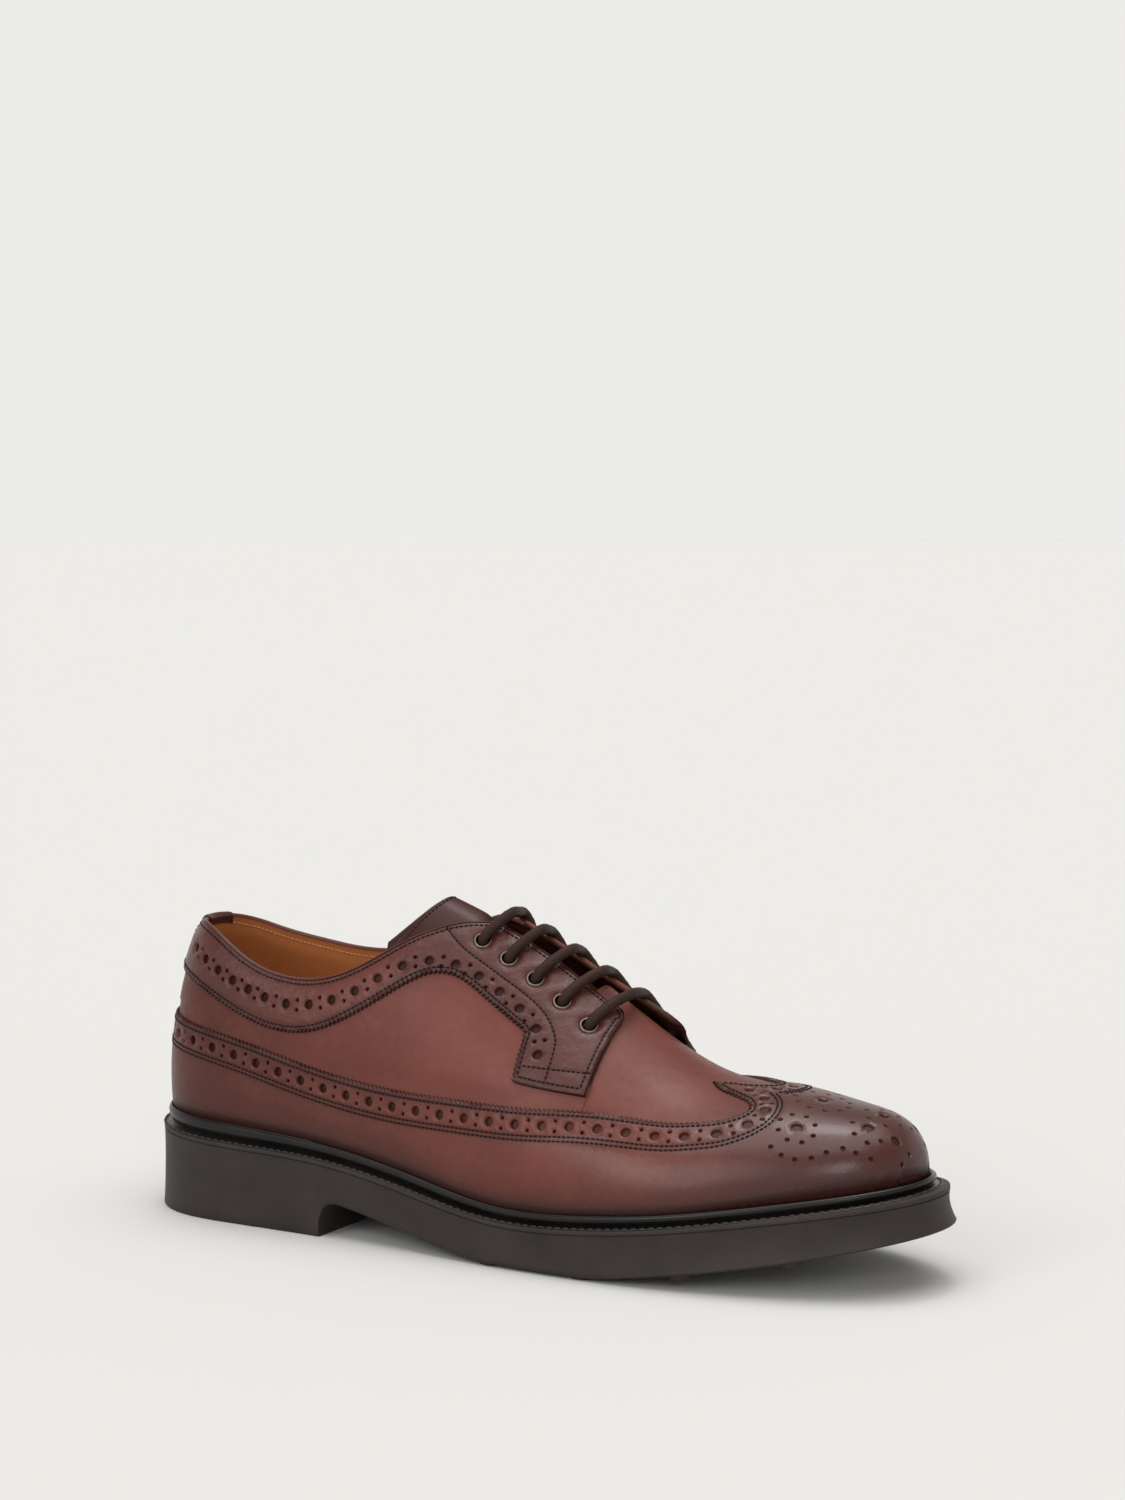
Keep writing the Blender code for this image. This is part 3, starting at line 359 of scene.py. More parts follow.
def round_toe(x):
    """1 at the heel, falling as an ellipse to 0 at the toe."""
    return np.sqrt(np.clip(1 - (x / LAST_LENGTH) ** 2, 0, None))


def half_width(half, x):
    """Half width of the feather line, from one side's column."""
    inner = half[1:-1] * BALL_WIDTH / round_ends(LAST_X[1:-1])
    heel, toe = np.sqrt(np.array([HEEL_RADIUS, TOE_RADIUS]) * LAST_LENGTH / 2)
    return spline(LAST_X, [heel, *inner, toe], x) * round_ends(x)


def feather_height(x):
    return spline(LAST_X, FEATHER * HEEL_HEIGHT, x)


def ridge_height(x):
    rise = RIDGE * INSTEP_HEIGHT - FEATHER * HEEL_HEIGHT
    inner = rise[:-1] / round_toe(LAST_X[:-1])
    toe = math.sqrt(TOE_PROFILE_RADIUS * LAST_LENGTH)
    return feather_height(x) + spline(LAST_X, [*inner, toe], x) * round_toe(x)


def station_at(x):
    """Station 0 to 1 from heel to toe, close together at both round ends."""
    return np.arccos(np.clip(1 - 2 * np.asarray(x, float) / LAST_LENGTH, -1, 1)) / math.pi


def x_at(station):
    return LAST_LENGTH * (1 - np.cos(math.pi * np.asarray(station, float))) / 2


def feather_point(station, side):
    x = x_at(station)
    half = by_side(side, half_width(LATERAL_HALF, x), half_width(MEDIAL_HALF, x))
    return np.stack([x, side * half, feather_height(x)], -1)


def ridge_point(station):
    foot = x_at(station)
    x = np.minimum(foot + HEEL_FAN * np.exp(-foot / HEEL_FAN), LAST_LENGTH)
    return np.stack([x, spline(LAST_X, SHIFT, x), ridge_height(x)], -1)


def last_point(station, climb, side):
    """Point of a section: climb 0 on the feather line, 1 on the ridge."""
    arrays = (np.asarray(a, float) for a in (station, climb, side))
    station, climb, side = np.broadcast_arrays(*arrays)
    foot = feather_point(station, side)
    top = ridge_point(station)
    bulge, rise, breadth = (spline(LAST_X, column, foot[..., 0]) for column in (BULGE, RISE, BREADTH))
    a = (1 - climb) ** 3
    b = 3 * climb * (1 - climb) ** 2
    c = 3 * climb**2 * (1 - climb)
    out = a + b * (1 + bulge) + c * breadth
    up = b * rise + c + climb**3
    plan = top[..., :2] + (foot[..., :2] - top[..., :2]) * out[..., None]
    height = foot[..., 2] + (top[..., 2] - foot[..., 2]) * up
    return np.concatenate([plan, height[..., None]], -1)


# Lengths of the leather over each section, so that points can be placed by distance
STATIONS = np.linspace(0, 0.9995, 401)
SHARES = np.linspace(0, 1, 121)
ALONG = run_of(feather_point(STATIONS, LATERAL))


def section_tables(side):
    """Girth by station, and climb by station and share of the girth."""
    climb = np.linspace(0, 1, 161)
    lengths = [run_of(points) for points in last_point(STATIONS[:, None], climb[None, :], side)]
    girths = np.array([length[-1] for length in lengths])
    return girths, np.array([np.interp(SHARES * length[-1], length, climb) for length in lengths])


SECTIONS = [section_tables(side) for side in (LATERAL, MEDIAL)]


def along_at(x):
    """Length of the feather line up to x."""
    return np.interp(station_at(x), STATIONS, ALONG)


def girth(station, side):
    return by_side(side, *(np.interp(station, STATIONS, girths) for girths, _ in SECTIONS))


def climb_at(station, share, side):
    """Climb of a share of the girth; a little below the feather line it runs straight on."""
    i = np.clip(station / STATIONS[-1] * (len(STATIONS) - 1), 0, len(STATIONS) - 1.001)
    j = np.clip(share * (len(SHARES) - 1), None, len(SHARES) - 1.001)
    i0 = i.astype(int)
    j0 = np.maximum(np.floor(j).astype(int), 0)
    u, v = i - i0, j - j0
    climbs = []
    for _, climb in SECTIONS:
        low = climb[i0, j0] * (1 - v) + climb[i0, j0 + 1] * v
        high = climb[i0 + 1, j0] * (1 - v) + climb[i0 + 1, j0 + 1] * v
        climbs.append(low * (1 - u) + high * u)
    return by_side(side, *climbs)


def surface(station, share, side):
    """Points of the last at shares of the girth, and the directions out of it."""
    arrays = (np.asarray(a, float) for a in (station, share, side))
    station, share, side = (np.array(a) for a in np.broadcast_arrays(*arrays))
    climb = climb_at(station, share, side)
    small = 0.002
    s = np.clip(station, 2 * small, 1 - 3 * small)
    c = np.minimum(climb, 1 - small)
    ahead = last_point(s + small, c, side) - last_point(s - small, c, side)
    up = last_point(s, c + small, side) - last_point(s, c - small, side)
    return last_point(station, climb, side), unit(np.cross(ahead, up) * -side[..., None])


def advanced(station, share, side):
    """Station moved forward on the inner side, as the pattern lies there, except at ridge and foot."""
    if side < 0:
        return station
    x = x_at(station)
    within = (x > ADVANCE[0, 0]) & (x < ADVANCE[0, -1])
    forward = np.where(within, spline(*ADVANCE, x), 0.0)
    below = np.clip((1 - share) * girth(station, side) / ADVANCE_REACH, 0, 1)
    return station_at(x + forward * (1 - (1 - below) ** 2) * smooth(0.0, ADVANCE_FOOT, share))


# Charts: flat coordinates in millimetres for cutting leather
def station_of(q):
    return np.interp(q[:, 0], ALONG, STATIONS)


def x_of(q):
    """Place along the last of chart points."""
    return x_at(station_of(q))


class SideChart:
    """One side of the shoe: (length along the feather line, height over it)."""

    def __init__(self, side):
        self.side = side
        self.flip = side > 0

    def at(self, q):
        station = station_of(q)
        share = q[:, 1] / girth(station, self.side)
        return advanced(station, share, self.side), share, np.full(len(q), self.side)

    def point(self, x, share):
        return np.stack([along_at(x), share * girth(station_at(x), self.side)], -1)


class CrownChart:
    """Both sides: (length along the feather line, signed distance from the ridge)."""

    flip = False

    def at(self, q):
        station = station_of(q)
        side = by_side(q[:, 1], LATERAL, MEDIAL)
        return station, 1 - np.abs(q[:, 1]) / girth(station, side), side

    def point(self, x, share, side):
        return np.stack([along_at(x), side * (1 - share) * girth(station_at(x), side)], -1)


CROWN = CrownChart()


def place(chart, q, height=0.0):
    point, normal = surface(*chart.at(q))
    return point + normal * np.broadcast_to(height, len(q))[:, None], normal


def metric_at(chart, q):
    """True lengths of the chart's steps over the last: along, skew and rise."""
    step = 0.25
    ahead, above = np.array([step, 0.0]), np.array([0.0, step])
    along = (place(chart, q + ahead)[0] - place(chart, q - ahead)[0]) / (2 * step)
    across = (place(chart, q + above)[0] - place(chart, q - above)[0]) / (2 * step)
    length = np.maximum(np.linalg.norm(along, axis=1), 1e-6)
    along = along / length[:, None]
    skew = np.sum(across * along, axis=1)
    return length, skew, np.linalg.norm(across - skew[:, None] * along, axis=1)


def to_flat(metric, d):
    """Chart steps for steps given in true millimetres."""
    length, skew, rise = metric
    b = d[:, 1] / rise
    return np.stack([(d[:, 0] - skew * b) / length, b], -1)


def offset_curve(chart, q, distance):
    """A curve moved sideways by true millimetres, to the left of its direction."""
    metric = metric_at(chart, q)
    length, skew, rise = metric
    step = np.gradient(q, axis=0)
    true = np.stack([step[:, 0] * length + step[:, 1] * skew, step[:, 1] * rise], -1)
    true /= np.maximum(np.linalg.norm(true, axis=1, keepdims=True), 1e-9)
    left = np.stack([-true[:, 1], true[:, 0]], -1)
    return q + to_flat(metric, left * np.broadcast_to(distance, len(q))[:, None])


def resample(chart, q, spacing):
    """Points at even true distances along a curve."""
    fine = np.concatenate([np.linspace(a, b, 8, endpoint=False) for a, b in zip(q[:-1], q[1:])] + [q[-1:]])
    run = run_of(place(chart, fine)[0])
    count = max(int(round(run[-1] / spacing)), 1)
    return at_run(np.linspace(0, run[-1], count + 1), run, fine)


def pinked(chart, q):
    """The curve cut with pinking shears: teeth to the left of its direction."""
    q = resample(chart, q, PINK_PITCH / 2)
    return offset_curve(chart, q, np.where(np.arange(len(q)) % 2 == 0, 0.0, PINK_DEPTH))


# Meshes
def to_frame(points):
    return (np.asarray(points, float) - ORIGIN) * MM


def linked(name, data):
    """An object for data, in the scene."""
    made = bpy.data.objects.new(name, data)
    bpy.context.scene.collection.objects.link(made)
    return made


def add_piece(name, points, faces, finish, nodes=(), tone=None, bend=None):
    """A mesh piece from points in millimetres of the last, riding on the shoe."""
    mesh = bpy.data.meshes.new(name)
    mesh.from_pydata(to_frame(points).tolist(), [], [tuple(map(int, f)) for f in faces])
    mesh.validate()
    mesh.shade_smooth()
    if bend is not None:
        mesh.set_sharp_from_angle(angle=math.radians(bend))
    if tone is not None:
        layer = mesh.attributes.new("tone", "FLOAT", "POINT")
        layer.data.foreach_set("value", np.broadcast_to(tone, len(points)).astype(np.float32))
    mesh.materials.append(finish)
    made = linked(name, mesh)
    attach(made, "root")
    if nodes:
        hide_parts(*nodes)


def grid_faces(rows, width, closed=False, flip=False, base=0):
    """Quads of a grid of points stored row by row."""
    faces = []
    for i in range(rows - 1):
        low, high = base + i * width, base + (i + 1) * width
        for j in range(width if closed else width - 1):
            n = (j + 1) % width
            quad = (low + j, low + n, high + n, high + j)
            faces.append(quad[::-1] if flip else quad)
    return faces


def inside(polygon, q):
    """Which points lie in a closed polygon."""
    odd = np.zeros(len(q), bool)
    ends = np.roll(polygon, -1, axis=0)
    for part in np.array_split(np.arange(len(q)), max(len(q) // 2000, 1)):
        x, y = q[part, 0][:, None], q[part, 1][:, None]
        cross = (polygon[:, 1] > y) != (ends[:, 1] > y)
        rise = np.where(ends[:, 1] == polygon[:, 1], 1e-12, ends[:, 1] - polygon[:, 1])
        where = polygon[:, 0] + (y - polygon[:, 1]) * (ends[:, 0] - polygon[:, 0]) / rise
        odd[part] = np.sum(cross & (x < where), axis=1) % 2 == 1
    return odd


def nearest(targets, q):
    """Distance from each point to the nearest target."""
    tree = KDTree(len(targets))
    for k, target in enumerate(targets):
        tree.insert((*target, 0.0)[:3], k)
    tree.balance()
    return np.array([tree.find((*p, 0.0)[:3])[2] for p in q])


class Leather:
    """A cut panel: outline, punched holes and sewn lines in a chart, laid over the last."""

    def __init__(self, chart, outline, spacing):
        self.chart = chart
        self.outline = outline
        self.spacing = spacing
        self.holes = []
        self.lines = []

    def punch(self, centres, radius, sides):
        metric = metric_at(self.chart, centres)
        for k in np.flatnonzero(inside(self.outline, centres)):
            self.holes.append((centres[k], radius, sides, [m[k : k + 1] for m in metric]))

    def sew(self, lines, height):
        """Sewn lines, with threads that lie a little in the leather."""
        for line in lines:
            self.lines.append(line)
            stitch_row(self.chart, line, lambda q: height(q) - THREAD_SINK)

    def ring(self, hole, extra):
        centre, radius, sides, metric = hole
        angle = turns(sides)
        circle = np.stack([np.cos(angle), np.sin(angle)], -1) * (radius + extra)
        return centre + to_flat([np.repeat(m, sides) for m in metric], circle)

    def build(self, height, depth, tone):
        """Points, faces and tone of the panel at a height over the last, with edges cut depth deep."""
        outline, chart = self.outline, self.chart
        after = np.roll(outline, -1, axis=0)
        area = 0.5 * np.sum(outline[:, 0] * after[:, 1] - outline[:, 1] * after[:, 0])
        closed = np.concatenate([outline[-1:], outline, outline[:1]])
        inner = offset_curve(chart, closed, math.copysign(EDGE_BEVEL, area))[1:-1]
        rims = [self.ring(hole, 0.0) for hole in self.holes]
        near = [inner[inside(outline, inner)], *(self.ring(hole, 0.4) for hole in self.holes)]
        sewn = [resample(chart, line, 0.9) for line in self.lines]
        for fine in sewn:
            near += [offset_curve(chart, fine, SEAM_REACH), offset_curve(chart, fine, -SEAM_REACH)]
        near = np.concatenate(near + sewn)
        near = near[inside(outline, near)]
        fixed = np.concatenate([outline, *rims])
        near = near[nearest(fixed, near) > 0.22]
        q = np.concatenate([fixed, near])
        q = np.concatenate([q, self.fill_points(q)])
        loops = np.split(np.arange(len(fixed)), np.cumsum([len(outline), *map(len, rims)])[:-1])
        edges = [(int(a), int(b)) for loop in loops for a, b in zip(loop, np.roll(loop, -1))]
        coords, _, triangles, origin, _, _ = delaunay_2d_cdt([Vector(p) for p in q], edges, [], 0, 1e-7)
        q = np.array([[v[0], v[1]] for v in coords])
        triangles = self.kept(np.array(triangles), q, rims)
        back = np.array([o[0] if o else -1 for o in origin])
        order = np.full(back.max() + 1, -1)
        order[back[back >= 0]] = np.flatnonzero(back >= 0)
        loops = [order[loop] for loop in loops]
        edge = EDGE_BEVEL - np.clip(nearest(fixed, q), 0, EDGE_BEVEL)
        seam = nearest(np.concatenate(sewn), q)
        level = height(q) - EDGE_BEVEL + np.sqrt(np.maximum(EDGE_BEVEL**2 - edge**2, 0))
        points, normals = place(chart, q, level - SEAM_DIP * np.clip(1 - seam / SEAM_REACH, 0, 1))
        faces = [triangles]
        low = len(points)
        for loop in loops:
            a, b = loop, np.roll(loop, -1)
            c = low + np.arange(len(loop))
            d = np.roll(c, -1)
            wall = np.concatenate([np.stack([a, c, d], -1), np.stack([a, d, b], -1)])
            faces.append(wall[:, ::-1] if (loop is loops[0]) == (area < 0) else wall)
            low += len(loop)
        faces = np.concatenate(faces)
        cut = np.concatenate([points[loop] - normals[loop] * depth for loop in loops])
        rim_dark, wall_dark, hole_dark = CUT_DARK
        # painted shade along the stitch grooves; cut walls darker: the outline's as dark cut edge and painted
        # shade, the holes' as painted shade inside them
        shade = tone(points, q) + SEAM_SHADE[0] * bell(seam, SEAM_SHADE[1])
        shade[loops[0]] += rim_dark
        walls = [shade[loop] + (wall_dark if loop is loops[0] else hole_dark) for loop in loops]
        faces = faces[:, ::-1] if chart.flip else faces
        return np.concatenate([points, cut]), faces, np.concatenate([shade, *walls])

    def kept(self, triangles, q, rims):
        """The triangles inside the outline and outside the holes."""
        middle = q[triangles].mean(1)
        keep = inside(self.outline, middle)
        for (centre, radius, _, _), rim in zip(self.holes, rims):
            close = np.flatnonzero(np.all(np.abs(middle - centre) < 2.5 * radius, axis=1))
            keep[close[inside(rim, middle[close])]] = False
        return triangles[keep]

    def fill_points(self, taken):
        """A staggered field of points inside the outline, clear of those already there."""
        low, high = self.outline.min(0), self.outline.max(0)
        step = self.spacing
        rows = np.arange(low[1], high[1], step * math.sqrt(3) / 2)
        grid_y, grid_x = np.meshgrid(rows, np.arange(low[0], high[0], step), indexing="ij")
        grid_x = grid_x + (np.arange(len(rows)) % 2)[:, None] * step / 2
        q = np.stack([grid_x.ravel(), grid_y.ravel()], -1)
        q = q[inside(self.outline, q)]
        for hole in self.holes:
            q = q[~inside(self.ring(hole, 0.3), q)]
        return q[nearest(taken, q) > step * 0.45]


# Curves of the pattern
def toe_axis(x):
    return spline(*TOE_AXIS, x)


def wing_edge(side):
    """The wing's upper edge from heel to peak, in the crown chart."""
    x, height = np.concatenate([WING_EDGE, WING_FRONT[side]], axis=1)
    sides = CROWN.point(x, height / girth(station_at(x), side), side)
    x, out = WING_CURL
    curl = np.stack([along_at(x), toe_axis(x) + side * out], -1)
    return curve_through(np.concatenate([sides, curl]), 320)


def wing_line(side, distance):
    """A line at a distance below the wing's edge, up to where it meets the other side's."""
    line = offset_curve(CROWN, resample(CROWN, wing_edge(side), 0.8), side * distance)
    own = side * (line[:, 1] - toe_axis(np.maximum(x_of(line), TOE_AXIS[0, 0]))) > 0.2
    return line if own.all() else line[: int(np.argmin(own))]


def wing_outline(lateral, medial):
    """The wing's edge all round: its foot, the back seams and both upper edges."""
    x = x_at(np.linspace(0.0, 0.999, 150))
    foot_lateral = CROWN.point(x, WING_FOOT, LATERAL)
    foot_medial = CROWN.point(x[::-1], WING_FOOT, MEDIAL)
    seam_medial = np.linspace(foot_medial[-1], medial[0], 18)[1:-1]
    seam_lateral = np.linspace(lateral[-1], foot_lateral[0], 18)[1:-1]
    return np.concatenate([foot_lateral, foot_medial, seam_medial, medial, lateral[1:], seam_lateral])


def under_wing(q):
    """1 where the wing lies over the leather, from a little way inside its edge."""
    lateral, medial = wing_edge(LATERAL)[::-1], wing_edge(MEDIAL)
    away = nearest(np.concatenate([medial, lateral]), q)
    return inside(wing_outline(lateral, medial), q) * smooth(1.5, 4.0, away)


def wing_height(q):
    """The wing lies closer to the last over the toe."""
    return WING - WING_THIN * smooth(*WING_THIN_SPAN, x_of(q))


def topline_share(x, side):
    """Share of the girth at the topline, or at the facing's edge in front of its corner."""
    facing = 1 - FACING_GAP / girth(station_at(x), side)
    collar_x = np.minimum(x, FACING_CORNER)
    line = by_side(side, *(spline(TOPLINE_X, share, collar_x) for share in (TOPLINE_LATERAL, TOPLINE_MEDIAL)))
    return np.where(x < FACING_CORNER, np.minimum(line, facing), facing)


def collar_thin(x, drop):
    """1 at the collar's edge, fading down the leather and towards the throat."""
    return (1 - smooth(*COLLAR_END, x)) * (1 - smooth(*COLLAR_REACH, drop))


def lining_lift(x, drop):
    """How much closer to the face the lining lies near the edge."""
    collar = 1 - smooth(*COLLAR_END, x)
    return (THROAT_INNER + (COLLAR_INNER - THROAT_INNER) * collar) * (1 - smooth(*COLLAR_REACH, drop))


def no_lift(x, drop):
    return np.zeros_like(drop)


def edge_lift(side, x, drop):
    """How far the facing stands off near its edge."""
    places, lifts = EDGE_LIFT[side]
    lift = np.maximum(spline(places, lifts, np.clip(x, places[0], places[-1])), 0)
    return lift * (1 - smooth(*LIFT_REACH, drop))


def facing_face(side, x, drop):
    """Height of the facing's face over the last, before it is drawn in at the eyelets."""
    return FACING - COLLAR_OUTER * collar_thin(x, drop) + edge_lift(side, x, drop)


def topline_drop(chart, q):
    """Place along, and distance below the topline, of chart points."""
    x = x_of(q)
    return x, topline_share(x, chart.side) * girth(station_at(x), chart.side) - q[:, 1]


def top_edge(chart):
    """Topline from the heel to the facing's corner, then the facing's edge to the tab's round corner."""
    collar = np.linspace(0, FACING_CORNER - 3, 90)
    x = np.concatenate([collar, np.linspace(FACING_CORNER, QUARTER_FRONT - TAB_ROUND, 40)])
    line = chart.point(x, topline_share(x, chart.side))
    turn = np.linspace(0, math.pi / 2, 9)[1:]
    ahead = line[-1, 0] + (along_at(QUARTER_FRONT) - line[-1, 0]) * np.sin(turn)
    corner = np.stack([ahead, line[-1, 1] - TAB_ROUND * (1 - np.cos(turn))], -1)
    return np.concatenate([line, corner])


def facing_edges(chart):
    """Edges of the facing, each with the leather on its left: band, tab's back, foot, front, top."""
    x = np.linspace(FACING_BACK, TAB_BACK, 110)
    band = chart.point(x, spline(*BAND_EDGE, x))
    top = top_edge(chart)
    back, front = along_at(TAB_BACK), along_at(QUARTER_FRONT)
    drop = np.linspace((back, band[-1, 1]), (back, TAB_HEIGHT[0]), 12)
    foot = np.linspace((back, TAB_HEIGHT[0]), (front, TAB_HEIGHT[1]), 14)
    rise = np.linspace((front, TAB_HEIGHT[1]), (front, top[-1, 1]), 14)
    first = int(np.searchsorted(top[:, 0], band[0, 0]))
    return band, drop, foot, rise, top[first:][::-1]


def inset(chart, edge, distance, others):
    """A line at a distance inside an edge, cut where it would come too near the other edges."""
    line = offset_curve(chart, resample(chart, edge, 0.8), distance)
    wall = place(chart, np.concatenate([resample(chart, other, 0.5) for other in others]))[0]
    return line[nearest(wall, place(chart, line)[0]) > distance * 0.93]


def table_curve(chart, rows, count):
    """A smooth curve through columns of place along and share."""
    knots = np.arange(rows.shape[1])
    fine = np.linspace(0, knots[-1], count)
    return chart.point(*(spline(knots, column, fine) for column in rows))


def brogue_row(chart, line, pitch, steps):
    """Large holes along a line, the first few by their own steps, with small pairs between them."""
    fine = resample(chart, line, 0.4)
    run = run_of(place(chart, fine)[0])
    first = np.concatenate([[0.0], np.cumsum(steps)])
    large = np.concatenate([first, np.arange(first[-1] + pitch, run[-1], pitch)])
    between = (large[1:] + large[:-1]) / 2
    small = [at_run(between, run, offset_curve(chart, fine, way * PAIR_SPREAD)) for way in (-1, 1)]
    return at_run(large, run, fine), np.concatenate(small)


# Finishes
class Nodes:
    """Short ways to add and join the shader nodes of a material or of the world."""

    def __init__(self, owner):
        owner.use_nodes = True
        self.tree = owner.node_tree

    def feed(self, inputs, values):
        """Inputs by name or number: another node's output is linked, anything else is set."""
        for key, value in values.items():
            if isinstance(value, bpy.types.NodeSocket):
                self.tree.links.new(value, inputs[key])
            else:
                inputs[key].default_value = value

    def add(self, kind, values, out):
        made = self.tree.nodes.new("ShaderNode" + kind)
        self.feed(made.inputs, values)
        return made.outputs[out]

    def math(self, operation, *values):
        made = self.tree.nodes.new("ShaderNodeMath")
        made.operation = operation
        self.feed(made.inputs, dict(enumerate(values)))
        return made.outputs[0]

    def noise(self, where, scale, detail=3.0, roughness=0.55):
        values = {"Vector": where, "Scale": scale, "Detail": detail, "Roughness": roughness}
        return self.add("TexNoise", values, "Fac")

    def mapped(self, value, span, ends):
        """A value carried from one span to another and held at its ends."""
        names = ("From Min", "From Max", "To Min", "To Max")
        return self.add("MapRange", {"Value": value, **dict(zip(names, (*span, *ends)))}, "Result")

    def bump(self, height, strength, depth):
        return self.add("Bump", {"Height": height, "Strength": strength, "Distance": depth}, "Normal")

    def ramp(self, value, stops):
        made = self.tree.nodes.new("ShaderNodeValToRGB")
        elements = made.color_ramp.elements
        while len(elements) < len(stops):
            elements.new(0.5)
        for element, (position, colour) in zip(elements, stops):
            element.position = position
            element.color = (*colour, 1.0)
        self.feed(made.inputs, {"Fac": value})
        return made.outputs["Color"]


def new_material(name):
    """A material, its nodes and the inputs of its shader."""
    made = bpy.data.materials.new(name)
    nodes = Nodes(made)
    return made, nodes, nodes.tree.nodes["Principled BSDF"].inputs


# Looks of leather: mottling, where the toe is polished, tones that dull it, and its relief
MOTTLE, TOE_POLISH_SPAN, DULL_SPAN, COAT_ROUGHNESS = 0.30, (0.02, 0.10), (0.85, 1.35), 0.2
CLOUD_SCALE, FOLD_SCALE, FLECK_SCALE, GRAIN_SCALE, PORE_SCALE = 38.0, 240.0, 320.0, 700.0, 2400.0
PORE_SHARE, GRAIN_DEPTH, MOULD_DEPTH = 0.35, 0.0004, 0.0003


def leather(
    name, dark, mid, light, roughness=0.42, coat=0.14, grain=0.14, shine=0.18, crease=0.3, polish=0.0
):
    """Burnished leather: tone from the mesh, mottled, with fine grain, more polished at the toe."""
    made, nodes, inputs = new_material(name)
    where = nodes.add("TexCoord", {}, "Object")
    attribute = nodes.tree.nodes.new("ShaderNodeAttribute")
    attribute.attribute_name = "tone"
    tone = attribute.outputs["Fac"]
    fleck = nodes.noise(where, FLECK_SCALE)
    clouds = nodes.math("MULTIPLY_ADD", nodes.noise(where, CLOUD_SCALE, 4.0), MOTTLE, -MOTTLE / 2)
    flecks = nodes.math("MULTIPLY_ADD", fleck, MOTTLE / 2, -MOTTLE / 4)
    shade = nodes.math("ADD", nodes.math("ADD", tone, clouds), flecks)
    cells = nodes.add("TexVoronoi", {"Vector": where, "Scale": PORE_SCALE}, "Distance")
    pores = nodes.math("MULTIPLY", cells, PORE_SHARE)
    folds = nodes.math("MULTIPLY", nodes.noise(where, FOLD_SCALE, 2.0), crease)
    fine = nodes.noise(where, GRAIN_SCALE, 4.0, 0.6)
    relief = nodes.math("ADD", nodes.math("ADD", pores, fine), folds)
    normal = nodes.bump(relief, grain, GRAIN_DEPTH)
    dull = nodes.mapped(tone, DULL_SPAN, (1.0, 0.1))
    along = nodes.add("SeparateXYZ", {"Vector": where}, "X")
    gloss = nodes.mapped(along, TOE_POLISH_SPAN, (coat, coat + polish))
    values = {
        "Base Color": nodes.ramp(shade, ((0.0, light), (0.5, mid), (1.0, dark))),
        "Roughness": nodes.math("MULTIPLY_ADD", fleck, 0.18, roughness - 0.09),
        "Normal": normal,
        "Specular IOR Level": nodes.math("MULTIPLY", dull, shine),
        "Coat Weight": nodes.math("MULTIPLY", gloss, dull),
        "Coat Roughness": COAT_ROUGHNESS,
        "Coat Normal": normal,
    }
    nodes.feed(inputs, values)
    return made


def rubber(name, base, worn, roughness, grit_scale, strength):
    """Moulded rubber: two shades, faint mould texture."""
    made, nodes, inputs = new_material(name)
    where = nodes.add("TexCoord", {}, "Object")
    cloud = nodes.noise(where, 60.0, 5.0)
    values = {
        "Base Color": nodes.ramp(cloud, ((0.35, base), (0.75, worn))),
        "Roughness": nodes.math("MULTIPLY_ADD", cloud, 0.2, roughness - 0.1),
        "Normal": nodes.bump(nodes.noise(where, grit_scale), strength, MOULD_DEPTH),
        "Specular IOR Level": 0.28,
    }
    nodes.feed(inputs, values)
    return made


def metal(name, colour, roughness):
    made, nodes, inputs = new_material(name)
    where = nodes.add("TexCoord", {}, "Object")
    cloud = nodes.math("MULTIPLY_ADD", nodes.noise(where, 400.0), 0.2, roughness - 0.1)
    nodes.feed(inputs, {"Base Color": (*colour, 1.0), "Metallic": 1.0, "Roughness": cloud})
    return made


BROWNS = (0.026, 0.0075, 0.0057), (0.074, 0.0190, 0.0142), (0.200, 0.056, 0.041)
TONGUE_BROWNS = BROWNS[0], (0.046, 0.013, 0.011), (0.11, 0.034, 0.028)
THROAT_BROWNS = (0.03, 0.008, 0.005), (0.10, 0.026, 0.014), (0.2, 0.06, 0.03)
TANS = (0.03, 0.008, 0.004), (0.335, 0.108, 0.033), (0.46, 0.178, 0.064)
PALE_TANS = (0.2, 0.08, 0.03), (0.45, 0.22, 0.09), (0.6, 0.35, 0.17)
THREAD_BROWNS = (0.008, 0.003, 0.003), (0.022, 0.007, 0.006), (0.06, 0.02, 0.016)
CORD_BROWNS = (0.012, 0.0058, 0.0045), (0.029, 0.0143, 0.011), (0.056, 0.03, 0.024)
UPPER_LEATHER = leather("upper_leather", *BROWNS, 0.47, 0.07)
OVERLAY_LEATHER = leather("overlay_leather", *BROWNS, polish=0.24)
FACING_LEATHER = leather("facing_leather", *BROWNS, 0.36, 0.22, 0.38, crease=2.6)
TONGUE_LEATHER = leather("tongue_leather", *TONGUE_BROWNS, shine=0.08, crease=0.8)
THROAT_LEATHER = leather("throat_leather", *THROAT_BROWNS, 0.5, 0.0)
LINING_LEATHER = leather("lining_leather", *TANS, 0.52, 0.05)
LINING_THREAD = leather("lining_thread", *PALE_TANS, 0.6, 0.0)
THREAD = leather("thread", *THREAD_BROWNS, 0.6, 0.0, shine=0.08)
CORD = leather("lace_cord", *CORD_BROWNS, 0.6, 0.02, 0.3, 0.08)
WELT_RUBBER = rubber("welt_rubber", (0.004, 0.0036, 0.0035), (0.008, 0.007, 0.0065), 0.30, 900.0, 0.05)
SOLE_RUBBER = rubber("sole_rubber", (0.019, 0.0138, 0.0130), (0.031, 0.0225, 0.021), 0.55, 1500.0, 0.12)
GUNMETAL = metal("eyelet_metal", (0.115, 0.097, 0.084), 0.30)


